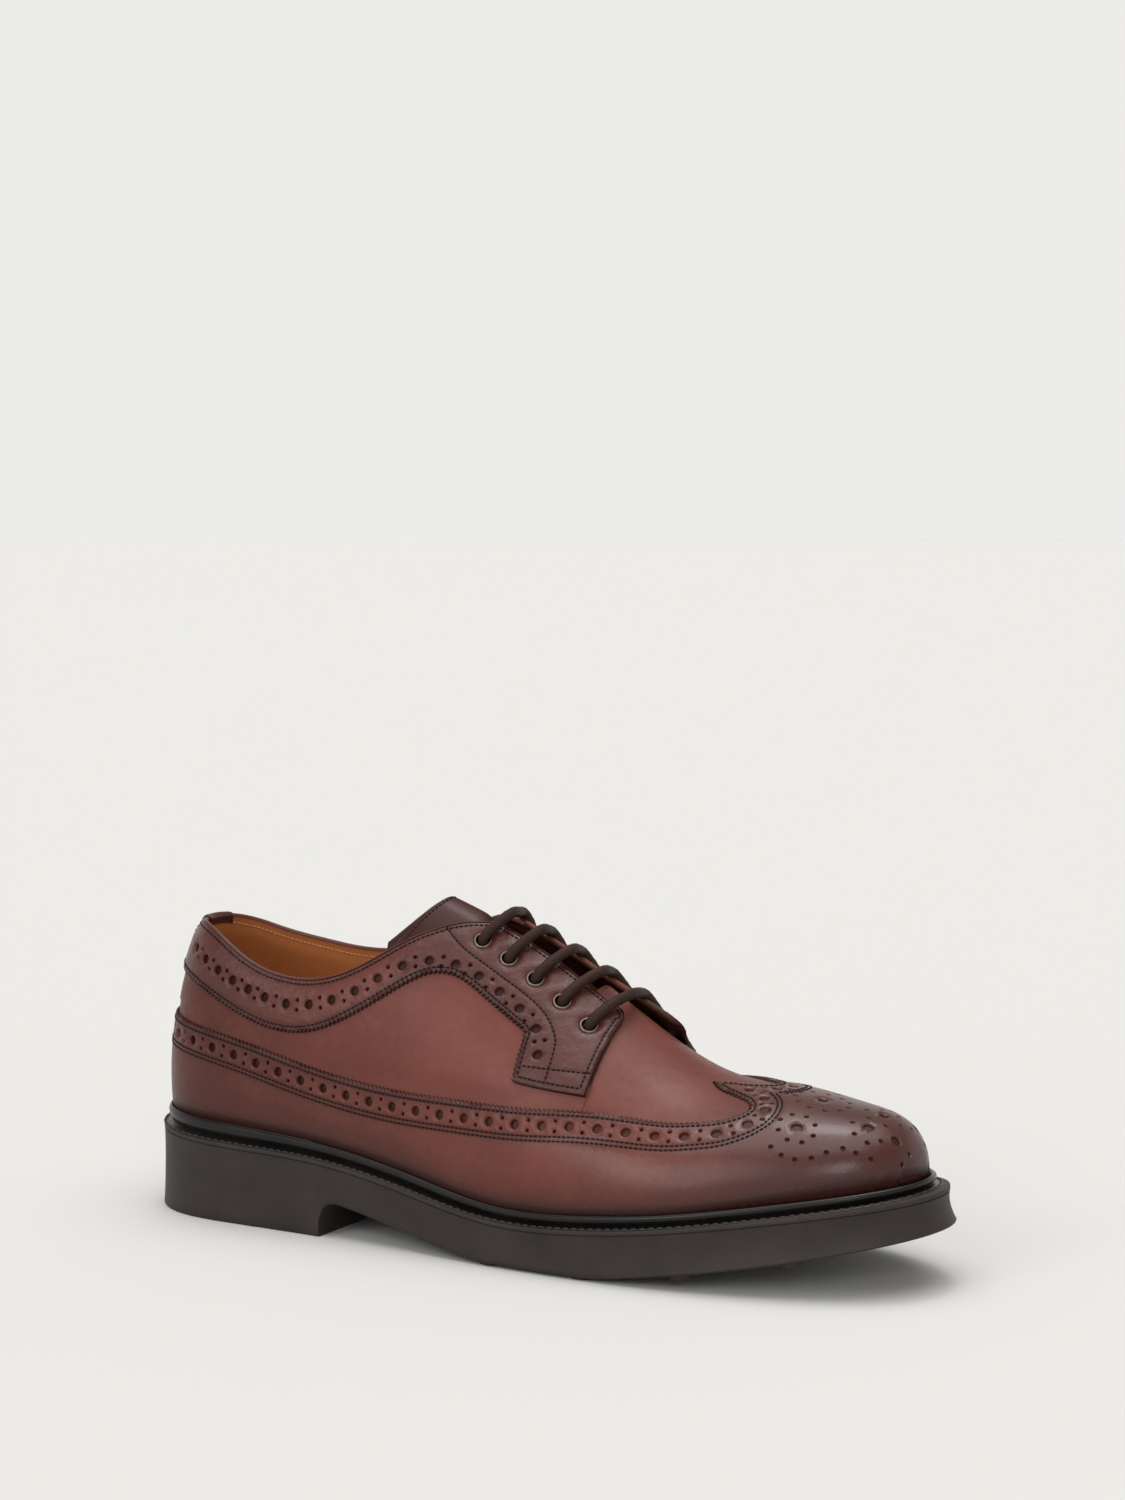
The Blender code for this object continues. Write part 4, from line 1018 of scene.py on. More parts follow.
def burnish_and_shade(points):
    """How dark the leather is at each place, 0 light, 1 dark: rubbed at toe and heel, darker low down, and
    painted shade where the upper meets the welt.
    """
    x = np.clip(points[:, 0], 0, LAST_LENGTH)
    over = points[:, 2] - feather_height(x)
    # painted shade in the corner where the upper meets the welt, over a wider darkening low down
    low = step_down(LOW_DARKENING, over) + step_down(FOOT_SHADE, over)
    return BASE_TONE + step_up(TOE_RUB, x) + low + step_down(HEEL_RUB, x)


def panel_tone(edges):
    """Tone by place, darker towards the panel's own edges, partly dark cut edge and partly painted shade."""

    def tone(points, q):
        away = nearest(edges, q)
        near = np.clip(1 - away / RIM_REACH, 0, 1)
        return burnish_and_shade(points) + RIM_DARK * near**1.5 + RIM_LINE[0] * bell(away, RIM_LINE[1])

    return tone


# Body under the panels, and its lining
def whole(x, side):
    return np.ones_like(x)


def lining_tone(x):
    """Painted shade on the lining under the eyestays, in the throat."""
    return LINING_TONE + step_up(LINING_SHADE, x)


def backing_tone(x):
    """Leather seen through the punched holes, dark as painted shade inside them, deepest towards heel and
    toe.
    """
    return BACKING_TONE - step_up(BACKING_PALER, x) + step_up(BACKING_TOE_DARKER, x)


def shell_grid(side, station, tops, height, lift):
    """Grid of the last at stations along it, from the feather line to a share for each."""
    share = SHELL_FOOT + (tops - SHELL_FOOT)[:, None] * np.linspace(0, 1, SHELL_ROWS)
    forward = advanced(np.repeat(station, SHELL_ROWS), share.ravel(), side)
    point, normal = surface(forward, share.ravel(), side)
    drop = (tops[:, None] - share) * girth(station, side)[:, None]
    return point + normal * (height + lift(x_at(station)[:, None], drop)).reshape(-1, 1)


def build_shell(name, height, lift, finish, outward, tone):
    points, faces = [], []
    spans = ((0.0, SLOT_END, 110, topline_share), (SLOT_END, LAST_LENGTH - 0.2, 60, whole))
    for side in (LATERAL, MEDIAL):
        for first, last, count, top in spans:
            station = np.linspace(station_at(first), station_at(last), count)
            flip = (side < 0) == outward
            faces += grid_faces(count, SHELL_ROWS, flip=flip, base=sum(map(len, points)))
            points.append(shell_grid(side, station, top(x_at(station), side), height, lift))
    points = np.concatenate(points)
    add_piece(name, points, faces, finish, ("upper",), tone=tone(points[:, 0]))


# Stitches: by piece, rows of middles, directions along and out, thread length and radius
STITCHES = {"stitching": [], "lining_stitching": []}


def stitch_row(chart, line, height, kind="stitching"):
    """Threads along a sewn line, each a short rounded bar that dips at its ends."""
    ends = resample(chart, line, STITCH_PITCH)
    middle = (ends[1:] + ends[:-1]) / 2
    level = height(middle)
    point, normal = place(chart, middle, level)
    ahead = unit(place(chart, ends[1:], level)[0] - place(chart, ends[:-1], level)[0])
    STITCHES[kind].append((point, ahead, normal, STITCH_LENGTH, STITCH_RADIUS))


def build_stitches(name, finish):
    """All threads of one kind as one mesh; each is four rings along its length."""
    along, wide, high = STITCH_RINGS
    size = len(along) * STITCH_SIDES
    angle = turns(STITCH_SIDES)
    last = size - STITCH_SIDES
    ends = np.arange(STITCH_SIDES)[::-1], np.arange(last, size)
    caps = [ring[list(half)] for half in ((0, 1, 2, 3), (0, 3, 4, 5)) for ring in ends]
    block = np.array([*grid_faces(len(along), STITCH_SIDES, closed=True), *caps])
    points = []
    for point, ahead, normal, length, radius in STITCHES[name]:
        across = np.cross(normal, ahead)
        centre = point[:, None] + ahead[:, None] * (along * length)[:, None] + normal[:, None] * high[:, None]
        ring = (radius * wide)[:, None, None]
        sideways = ring * np.cos(angle)[:, None] * across[:, None, None]
        upward = ring * np.sin(angle)[:, None] * normal[:, None, None]
        points.append(centre[:, :, None] + sideways + upward)
    points = np.concatenate([made.reshape(-1, 3) for made in points])
    faces = (block + size * np.arange(len(points) // size)[:, None, None]).reshape(-1, 4)
    add_piece(name, points, faces, finish, tone=0.5)


# Vamp and quarters
def build_vamp():
    """Front of the upper, from under the tabs to under the wing, with a turned edge at the throat."""
    x = np.linspace(VAMP_BACK, VAMP_FRONT, 60)
    rows = np.linspace(-1, 1, 91)
    side = by_side(rows, LATERAL, MEDIAL)
    share = 1 - np.abs(rows) * VAMP_SHARE
    points = np.concatenate([surface(station, share, side)[0] for station in station_at(x)])
    edge = points[: len(rows)]
    points = np.concatenate([edge + np.array([0.4, 0.0, -1.6]), edge + np.array([-0.3, 0.0, -0.5]), points])
    faces = grid_faces(len(x) + 2, len(rows), flip=True)
    q = np.concatenate([CROWN.point(np.full(len(rows), at), share, side) for at in x])
    # painted shade on the vamp under the wing, seen through its holes
    covered = np.concatenate([np.zeros(2 * len(rows)), under_wing(q)])
    tone = burnish_and_shade(points) + UNDER_SHADE / 2 * covered
    add_piece("vamp", points, faces, UPPER_LEATHER, ("upper",), tone=tone)


def quarter_height(q):
    """The quarter's leather thins towards the wing, which lies over it."""
    edge = spline(*WING_EDGE, np.clip(x_of(q), 0, WING_EDGE[0, -1]))
    return QUARTER_LOW + (QUARTER - QUARTER_LOW) * smooth(0.0, 9.0, q[:, 1] - edge)


def build_quarter(name, side):
    x = np.linspace(0.0, QUARTER_FRONT, 150)
    rows = np.linspace(0, 1, 30)
    low = spline(*WING_EDGE, x) - QUARTER_TUCK
    band = spline(*BAND_EDGE, np.minimum(x, TAB_BACK)) * girth(station_at(x), side)
    heights = low[:, None] + (band + QUARTER_RISE - low)[:, None] * rows
    q = np.stack([np.repeat(along_at(x), len(rows)), heights.ravel()], -1)
    points, normals = place(SideChart(side), q, quarter_height(q))
    front = slice(len(points) - len(rows), len(points))
    ahead = np.array([0.3, 0.0, 0.0])
    turned = [points[front] - normals[front] * drop + ahead for drop in (0.25, 1.3)]
    points = np.concatenate([points, *turned])
    faces = grid_faces(len(x) + 2, len(rows), flip=side < 0)
    # painted shade on the quarter under the facing, seen through its holes and gaps
    hidden_from = np.where(x < TAB_BACK + 1.2, band, TAB_HEIGHT[0])
    covered = smooth(*UNDER_SPAN, q[:, 1] - np.repeat(hidden_from, len(rows)))
    covered = np.concatenate([covered, np.tile(covered[front], 2)])
    tone = burnish_and_shade(points) - 0.05 + UNDER_SHADE * covered
    add_piece(name, points, faces, UPPER_LEATHER, ("upper",), tone=tone)


# Wing
def medallion():
    """Punched toe ornament: a ring of small holes round each large one, alike on both sides of its axis."""
    large, small = [], []
    for x, out, reach_x, reach_out, count, turn in MEDALLION_RINGS:
        axis = float(toe_axis(x))
        for way in (-1, 1) if out > 0 else (-1,):
            large.append((x, axis + way * out))
            angle = math.radians(turn) + turns(count)
            ring = np.stack([x + reach_x * np.cos(angle), axis + way * (out + reach_out * np.sin(angle))], -1)
            small += ring.tolist()
    for x, out in MEDALLION_SINGLES:
        small += [(x, float(toe_axis(x)) + way * out) for way in (-1, 1)]
    return crown_places(large), crown_places(thinned(small, large))


def thinned(small, large):
    """Small holes that keep clear of each other and of the large ones."""
    kept = []
    for hole in small:
        clear = all(math.dist(hole, other) > SMALL_CLEAR for other in kept)
        if clear and all(math.dist(hole, other) > LARGE_CLEAR for other in large):
            kept.append(hole)
    return kept


def crown_places(rows):
    """Chart places from place along and signed distance from the ridge."""
    x, across = columns(*rows)
    return np.stack([along_at(np.clip(x, 0, LAST_LENGTH - 1.2)), across], -1)


def build_wing():
    lateral = pinked(CROWN, wing_edge(LATERAL)[::-1])
    medial = pinked(CROWN, wing_edge(MEDIAL))
    panel = Leather(CROWN, wing_outline(lateral, medial), WING_SPACING)
    for side in (LATERAL, MEDIAL):
        row = wing_line(side, WING_HOLES)[8:][::-1]
        large, small = brogue_row(CROWN, row, WING_PITCH, CURL_STEPS)
        panel.punch(large if side < 0 else large[1:], LARGE_HOLE, LARGE_SIDES)
        panel.punch(small, SMALL_HOLE, SMALL_SIDES)
        panel.sew([wing_line(side, distance) for distance in WING_STITCHES], wing_height)
    large, small = medallion()
    panel.punch(large, LARGE_HOLE, LARGE_SIDES)
    panel.punch(small, SMALL_HOLE, SMALL_SIDES)
    rim = panel_tone(np.concatenate([medial, lateral]))
    points, faces, tone = panel.build(wing_height, WING_CUT, rim)
    add_piece(
        "wing_overlay", points, faces, OVERLAY_LEATHER, ("wing",), tone=tone, bend=50
    )


# Facings
def eyelet_centres(chart):
    return chart.point(EYELET_X, 1 - EYELET_DROP / girth(station_at(EYELET_X), chart.side))


def facing_height(chart):
    """The facing is drawn in round each eyelet, with a few short puckers."""
    centres = eyelet_centres(chart)

    def swell(size, reach):
        return size[0] * bell(reach, size[2], size[1])

    def height(q):
        level = facing_face(chart.side, *topline_drop(chart, q))
        for k, centre in enumerate(centres):
            along, up = (q - centre).T
            reach = np.hypot(along, up)
            folds = np.cos(5 * np.arctan2(up, along) + 1.7 * k)
            level += swell(EYELET_DIP, reach) + swell(EYELET_RIDGE, reach)
            level += folds * swell(EYELET_PUCKER, reach)
        return level

    return height


def build_facing(name, side):
    chart = SideChart(side)
    band, drop, foot, rise, top = facing_edges(chart)
    lower = np.concatenate([band, drop[1:]])
    low = pinked(chart, lower)
    upper = resample(chart, top, 1.6)
    back = np.linspace(upper[-1], low[0], 14)[1:-1]
    panel = Leather(chart, np.concatenate([low, foot[1:], rise[1:-1], upper, back]), FACING_SPACING)
    level = facing_height(chart)
    panel.punch(eyelet_centres(chart), EYELET_HOLE, EYELET_HOLE_SIDES)
    large, small = brogue_row(chart, table_curve(chart, BAND_HOLES, 200)[::-1], BAND_PITCH, BAND_STEPS)
    clear = (x_of(large) < TAB_BACK) | (large[:, 1] > TAB_LINE_HEIGHT + LARGE_HOLE)
    panel.punch(large[clear], LARGE_HOLE, LARGE_SIDES)
    panel.punch(small, SMALL_HOLE, SMALL_SIDES)
    sewn = [
        inset(chart, lower, EDGE_STITCH, (band, drop, foot, top)),
        inset(chart, foot, EDGE_STITCH, (drop, foot, rise)),
        inset(chart, rise, EDGE_STITCH, (foot, rise, top)),
        inset(chart, top, TOP_STITCH, (rise, top)),
        table_curve(chart, EYESTAY_LINE, 80),
        np.stack([along_at(np.linspace(*TAB_LINE_X, 20)), np.full(20, TAB_LINE_HEIGHT)], -1),
    ]
    panel.sew(sewn, level)
    points, faces, tone = panel.build(level, FACING_CUT, panel_tone(np.concatenate([low, foot, rise])))
    tone = tone + step_up(EYESTAY_RUB, points[:, 0])
    add_piece(
        name + "_overlay", points, faces, FACING_LEATHER, (name,), tone=tone, bend=50
    )
    build_rolled_edge(f"rolled_edge_{name}", chart)
    collar = inset(chart, top[x_of(top) < LINING_STITCH_END][::-1], -LINING_STITCH, (top,))

    def lining_level(q):
        return LINING - THREAD_SINK + lining_lift(*topline_drop(chart, q))

    stitch_row(chart, collar, lining_level, "lining_stitching")


def build_rolled_edge(name, chart):
    """Turned edge from the leather's face over to the lining, along topline and throat."""
    line = resample(chart, top_edge(chart), EDGE_STEP)
    x, drop = topline_drop(chart, line)
    outer = facing_face(chart.side, x, drop)
    inner = LINING + lining_lift(x, 0.0) + edge_lift(chart.side, x, drop)
    left = smooth(0.0, EDGE_TAPER, EDGE_STEP * np.arange(len(line))[::-1])
    inner = outer - (outer - inner) * left - 0.4 * (1 - left)
    middle, half = (outer + inner) / 2 - 0.1, (outer - inner) / 2
    rows = []
    for angle in np.linspace(0, math.pi, EDGE_ROWS):
        out = offset_curve(chart, line, EDGE_BULGE * left * math.sin(angle))
        rows.append(place(chart, out, middle + half * math.cos(angle))[0])
    points = np.concatenate(rows)
    faces = np.array(grid_faces(EDGE_ROWS, len(line), flip=chart.flip))
    row, column = np.divmod(faces[:, 0], len(line))
    throat = (x[column + 1] > FACING_CORNER - 2) & (row >= 2)
    tone = np.repeat(np.linspace(*EDGE_TONE, EDGE_ROWS), len(line))
    add_piece(name, points, faces[~throat], OVERLAY_LEATHER, tone=tone)
    depth = np.repeat(np.arange(EDGE_ROWS), len(line))
    # painted shade on the inner rows of the throat edge and towards the throat's front
    tone = THROAT_TONE + step_up(INSIDE_SHADE, depth) + np.tile(step_up(FRONT_SHADE, x), EDGE_ROWS)
    add_piece(name + "_throat", points, faces[throat], THROAT_LEATHER, tone=tone)


# Heel strip
def strip_level(height, top):
    """Height of the strip over the last: on the facing, then on the quarter, then in under the wing."""
    facing = (STRIP - STRIP_LOW) * smooth(*STRIP_STEP, height) - COLLAR_OUTER * collar_thin(0.0, top - height)
    return STRIP_LOW + facing - STRIP_TUCK * (1 - smooth(*STRIP_DIP, height))


def build_heel_strip():
    """Strip over the back seam, from under the wing up and folded over the topline."""
    reach = np.linspace(-1, 1, 25)
    side = by_side(reach, LATERAL, MEDIAL)
    station = np.abs(reach) * station_at(STRIP_EDGE)
    size = girth(station, side)
    top = topline_share(x_at(station), side) * size
    flat = np.zeros(len(reach))
    rows = [STRIP_FOOT + (top - STRIP_FOOT) * climb for climb in np.linspace(0, 1, STRIP_ROWS)]
    rows = [(height, strip_level(height, top)) for height in rows]
    outer, inner = STRIP - COLLAR_OUTER, LINING + COLLAR_INNER - STRIP_INSIDE
    for angle in np.linspace(0, math.pi, 9)[1:]:
        level = (outer + inner) / 2 + (outer - inner) / 2 * math.cos(angle)
        rows.append((top + STRIP_ROLL * math.sin(angle), flat + level))
    for drop in np.linspace(0, STRIP_FOLD, 5)[1:]:
        rows.append((top - drop, flat + inner - COLLAR_INNER * (1 - collar_thin(0.0, drop))))
    heights, levels = (np.array(part) for part in zip(*rows))
    point, normal = surface(station, heights / size, side)
    rim = np.where(np.abs(reach) > 0.999, STRIP_RIM, 0.0)
    grid = (point + normal * (levels - rim)[..., None]).reshape(-1, 3)
    faces = grid_faces(len(rows), len(reach), flip=True)
    sunk = point + normal * (levels - STRIP_THICK)[..., None]
    walls = [sunk[:STRIP_ROWS, column] for column in (0, -1)]
    for column, base, way in ((0, len(grid), 1), (len(reach) - 1, len(grid) + STRIP_ROWS, -1)):
        edge = np.arange(STRIP_ROWS) * len(reach) + column
        low = base + np.arange(STRIP_ROWS)
        faces += np.stack([edge[:-1], edge[1:], low[1:], low[:-1]], -1)[:, ::way].tolist()
    points = np.concatenate([grid, *walls])
    tone = burnish_and_shade(points) + STRIP_DARK
    nodes = ("heel_strip",)
    add_piece("back_strip", points, faces, OVERLAY_LEATHER, nodes, tone=tone, bend=60)
    for edge_side in (LATERAL, MEDIAL):
        chart = SideChart(edge_side)
        x = np.full(24, STRIP_STITCH_X)
        foot = (WING_EDGE[1, 0] + 1.5) / girth(station_at(x), edge_side)
        line = chart.point(x, np.linspace(foot[0], topline_share(x, edge_side)[0], len(x)))
        stitch_row(chart, line, lambda q: strip_level(q[:, 1], q[:, 1] + topline_drop(chart, q)[1]) - 0.03)


# Tongue
def tongue_half(x):
    near = np.clip((TONGUE_END + TONGUE_ROUND - x) / TONGUE_ROUND, 0, 1)
    return spline(*TONGUE, x) - TONGUE_ROUND * (1 - np.sqrt(1 - near**2))


def arched(across):
    """How much of the arch of the tongue's free end reaches each share of its half width."""
    return TONGUE_ARCH * (1 - np.abs(across) ** TONGUE_ARCH_POWER) / (TONGUE_ARCH_START - TONGUE_END)


def end_scale(across):
    """Leather between the tongue's cross lines near its end, over their distance along the last."""
    return END_STRETCH - arched(across)


def tongue_point(x, across, height):
    """Point of the tongue by place along and share of its half width, and the direction out of it."""
    side = by_side(across, LATERAL, MEDIAL)
    station = station_at(x + np.clip(TONGUE_ARCH_START - x, 0, None) * arched(across))
    out = np.abs(across) * tongue_half(x)
    point, normal = surface(station, 1 - out / girth(station, side), side)
    level = height - TONGUE_SINK * throat_depth(x, out)
    level = level - TONGUE_FLAT * (1 - smooth(*THROAT_START, x)) * bell(out, FLAT_REACH)
    return point + normal * level[..., None], normal


def throat_depth(x, out):
    """1 along the middle of the throat, where the tongue lies deeper."""
    along = smooth(*THROAT_START, x) * (1 - smooth(*THROAT_END, x))
    return along * (1 - smooth(0.0, SINK_REACH, out))


def build_tongue():
    x = TONGUE_END + (TONGUE_FRONT - TONGUE_END) * np.linspace(0, 1, 90) ** 1.15
    across = np.sin(np.linspace(-math.pi / 2, math.pi / 2, 61))
    grid_x, grid_a = (grid.ravel() for grid in np.meshgrid(x, across, indexing="ij"))
    half = tongue_half(grid_x)
    edge = np.minimum((1 - np.abs(grid_a)) * half, (grid_x - TONGUE_END) * end_scale(grid_a))
    near = TONGUE_RIM - np.minimum(edge, TONGUE_RIM)
    drop = TONGUE_RIM - np.sqrt(np.maximum(TONGUE_RIM**2 - near**2, 0))
    groove = TONGUE_GROOVE[0] * bell(edge, TONGUE_GROOVE[1], TONGUE_STITCH)
    top = tongue_point(grid_x, grid_a, TONGUE_TOP - drop - groove)[0]
    low = tongue_point(grid_x, grid_a, TONGUE_UNDER + drop * 0.8)[0]
    count = len(top)
    faces = grid_faces(len(x), len(across), flip=True) + grid_faces(len(x), len(across), base=count)
    ids = np.arange(count).reshape(len(x), len(across))
    ring = np.concatenate([ids[0], ids[1:, -1], ids[-1, -2::-1], ids[-2:0:-1, 0]])
    after = np.roll(ring, -1)
    faces += np.stack([ring, after, after + count, ring + count], -1).tolist()
    edge_dark, edge_reach = TONGUE_EDGE_DARK
    tone = burnish_and_shade(top) + TONGUE_DARK + edge_dark * np.clip(1 - edge / edge_reach, 0, 1)
    # painted shade on the tongue down the middle of the throat
    tone += THROAT_SHADE * throat_depth(grid_x, np.abs(grid_a) * half * 0.6)
    tone = np.concatenate([tone, tone + 0.2])
    points = np.concatenate([top, low])
    add_piece("tongue_leather", points, faces, TONGUE_LEATHER, ("tongue",), tone=tone)
    stitch_tongue()


def stitch_tongue():
    """One row round the tongue's free edge."""
    corner = TONGUE_ROUND * 0.35
    x = np.linspace(140.0, TONGUE_END + TONGUE_STITCH + corner, 80)
    share = 1 - TONGUE_STITCH / tongue_half(x)
    across = np.linspace(-share[-1], share[-1], 60)
    end = TONGUE_END + TONGUE_STITCH / end_scale(across) + corner * (np.abs(across) / share[-1]) ** 6
    left, right = (np.stack([x, way * share], -1) for way in (-1, 1))
    line = np.concatenate([left, np.stack([end, across], -1), right[::-1]])
    level = np.array(TONGUE_TOP - 0.2)
    run = run_of(tongue_point(*line.T, level)[0])
    ends = at_run(np.arange(0.0, run[-1], STITCH_PITCH), run, line)
    middle, normal = tongue_point(*((ends[1:] + ends[:-1]) / 2).T, level)
    ahead = unit(np.diff(tongue_point(*ends.T, level)[0], axis=0))
    STITCHES["stitching"].append((middle, ahead, normal, STITCH_LENGTH, STITCH_RADIUS))


# Sole, welt and insole
def loop_of(stations):
    """The feather line as a closed loop, outer side then inner side, with its outward directions."""
    loop = np.concatenate([feather_point(stations, LATERAL), feather_point(stations[-2:0:-1], MEDIAL)])
    ahead = np.roll(loop, -1, 0)[:, :2] - np.roll(loop, 1, 0)[:, :2]
    return loop, unit(np.stack([ahead[:, 1], -ahead[:, 0]], -1))


def lip_height(x):
    return spline(SOLE_X, LIP, x)


def underside(x):
    """Bottom of the forepart and waist: rounded into the breast, and flat under the ball."""
    near = np.clip((x - HEEL_BREAST) / BREAST_FILLET, 0, 1)
    fillet = BREAST_FILLET * (1 - np.sqrt(1 - (1 - near) ** 2))
    return np.maximum(spline(SOLE_X, UNDERSIDE, x) - fillet, STUD_HEIGHT)


def ladder(ring):
    """Faces that close a ring of points, joining its two sides rung by rung."""
    half = len(ring) // 2
    rungs = [(ring[k], ring[k + 1], ring[-k - 1], ring[-k]) for k in range(1, half - 1)]
    return [(ring[0], ring[1], ring[-1]), *rungs, (ring[half - 1], ring[half], ring[half + 1])]


def rings_mesh(rings, closed=False):
    """Faces between rings of points, from the top one down, that close on themselves or have two caps."""
    ids = np.arange(len(rings) * len(rings[0])).reshape(len(rings), -1)
    faces = []
    if closed:
        ids = np.concatenate([ids, ids[:1]])
    for upper, lower in zip(ids, ids[1:]):
        faces += np.stack([upper, lower, np.roll(lower, -1), np.roll(upper, -1)], -1).tolist()
    if not closed:
        faces += ladder(ids[0].tolist()) + [f[::-1] for f in ladder(ids[-1].tolist())]
    return np.concatenate(rings), faces


def build_outsole():
    heel_stations = np.linspace(0, station_at(HEEL_BREAST), 70)
    loop, out = loop_of(np.concatenate([heel_stations, np.linspace(station_at(HEEL_BREAST + 0.03), 1, 150)]))
    x = loop[:, 0]
    heel = x <= HEEL_BREAST + 0.01
    lip = lip_height(x)
    foot = np.where(heel, 0.0, underside(x))
    overhang = spline(SOLE_X, OVERHANG, x)
    flare = spline(SOLE_X, FLARE, x) + np.where(heel, HEEL_PROUD, 0.0)

    def ring(extra, height):
        return np.column_stack([loop[:, :2] + out * (overhang + extra)[:, None], height])

    rings = [ring(extra, lip + height) for extra, height in LIP_PROFILE]
    high, low = lip - WALL_TOP, foot + FOOT_CHAMFER
    hollow = np.interp(x, *WALL_HOLLOW)
    for share in np.linspace(0, 1, WALL_ROWS):
        bend = hollow * math.sin(math.pi * share) ** 0.8 + WALL_INSET * (1 - share)
        rings.append(ring(flare * share**1.5 - bend, high + (low - high) * share))
    rings += [ring(flare - 0.25, foot + 0.2), ring(flare - FOOT_CHAMFER, foot)]
    points, faces = rings_mesh(rings)
    add_piece("sole", points, faces, SOLE_RUBBER, ("outsole",), bend=32)


def build_studs():
    """Round studs under the forefoot, in rows of three and two."""
    places = [(row, across) for row in range(4) for across in (-1.0, 0.0, 1.0)]
    places += [(row + 0.5, across) for row in range(3) for across in (-STUD_PAIR, STUD_PAIR)]
    angle = turns(STUD_SIDES)[:, None]
    points, faces = [], []
    for row, across in places:
        x = STUD_FIRST + STUD_PITCH * row
        half = half_width(LATERAL_HALF if across < 0 else MEDIAL_HALF, x)
        rim = half + spline(SOLE_X, OVERHANG, x) + spline(SOLE_X, FLARE, x)
        y = across * half if abs(across) < 1 else across * (rim - STUD_INSET)
        tall = STUD_HEIGHT * (1 + STUD_LONGER * smooth(*STUD_FREE, x))
        level = underside(x)
        tilt = math.atan(underside(x + 1.0) - level)
        ahead = np.array([math.cos(tilt), 0.0, math.sin(tilt)])
        down = np.array([math.sin(tilt), 0.0, -math.cos(tilt)])
        circle = np.cos(angle) * ahead + np.sin(angle) * np.array([0.0, 1.0, 0.0])
        base = len(points) * STUD_SIDES
        seat = np.array([x, y, level])
        points += [seat + circle * radius + down * depth * tall for radius, depth in STUD_PROFILE]
        faces += grid_faces(len(STUD_PROFILE), STUD_SIDES, closed=True, flip=True, base=base)
        end = len(points) * STUD_SIDES
        faces.append(tuple(range(end - 1, end - 1 - STUD_SIDES, -1)))
    add_piece("studs", np.concatenate(points), faces, SOLE_RUBBER, bend=40)


def build_welt():
    """Storm welt: a glossy bead against the upper, a groove, and a flange sewn to the sole."""
    loop, out = loop_of(np.linspace(0, 1, 190))
    lip = lip_height(loop[:, 0])
    tall = loop[:, 2] + WELT_RISE - lip
    rings = []
    for across, share, lift in WELT_PROFILE:
        rings.append(np.column_stack([loop[:, :2] + out * across, lip + tall * share + lift]))
    points, faces = rings_mesh(rings, closed=True)
    add_piece("storm_welt", points, [f[::-1] for f in faces], WELT_RUBBER, ("welt",), bend=55)
    run = run_of(loop)
    at = np.arange(1.0, run[-1], WELT_STITCH)
    level = lip_height(np.interp(at, run, loop[:, 0])) + WELT_STITCH_UP
    middle = np.column_stack([at_run(at, run, loop[:, :2] + out * WELT_STITCH_OUT), level])
    up = np.tile([0.0, 0.0, 1.0], (len(at), 1))
    ahead = unit(np.gradient(middle, axis=0))
    STITCHES["welt_stitching"] = [(middle, ahead, up, WELT_THREAD_LENGTH, WELT_THREAD_RADIUS)]
    build_stitches("welt_stitching", SOLE_RUBBER)


def build_insole():
    loop, out = loop_of(np.linspace(0, 1, 120))
    base = lip_height(loop[:, 0])
    rings = [np.column_stack([loop[:, :2] - out * edge, base + level]) for edge, level in INSOLE_PROFILE]
    points, faces = rings_mesh(rings)
    add_piece("sock", points, faces, LINING_LEATHER, ("insole",), tone=LINING_TONE, bend=50)


# Eyelets and lace
def build_eyelets(word, side):
    """Rolled metal rings set in the facing, with barrels that line the holes."""
    chart = SideChart(side)
    centres = eyelet_centres(chart)
    seat, normal = place(chart, centres, facing_height(chart)(centres + np.array([EYELET_RING, 0.0])))
    angle = turns(EYELET_SIDES)[:, None]
    points, faces = [], []
    for p, n in zip(seat, normal):
        ahead = unit(np.cross([0.0, 0.0, 1.0], n))
        circle = np.cos(angle) * ahead + np.sin(angle) * np.cross(n, ahead)
        faces += grid_faces(len(EYELET_PROFILE), EYELET_SIDES, closed=True, base=len(points) * EYELET_SIDES)
        points += [p + circle * radius + n * level for radius, level in EYELET_PROFILE]
    nodes = [f"eyelet_{word}_{k + 1}" for k in range(EYELET_COUNT)]
    add_piece(f"eyelets_{word}", np.concatenate(points), faces, GUNMETAL, nodes, bend=60)


def lace_path(number):
    """Middle line of one bar: out of the outer eyelet, over the throat, down into the inner one."""
    arms = []
    for side in (LATERAL, MEDIAL):
        chart = SideChart(side)
        centre = eyelet_centres(chart)[number]
        way = np.array([LACE_SLANT[side][number], EYELET_DROP[number] - FACING_GAP])
        shares, rises = LACE_RISE
        out = place(chart, centre + shares[:, None] * way, rises)[0]
        shares, lifts = LACE_REST[side]
        q = centre + shares[:, None] * way
        level = FACING + edge_lift(side, *topline_drop(chart, q)) + LACE_RADIUS + lifts
        arms.append(np.concatenate([out, place(chart, q, level)[0]]))
    near, far = arms[0][-1:], arms[1][-1:]
    apex = near + (far - near) * LACE_APEX + np.array([0.0, 0.0, LACE_ARCH])
    return curve_through(np.concatenate([arms[0], apex, arms[1][::-1]]), LACE_RINGS)


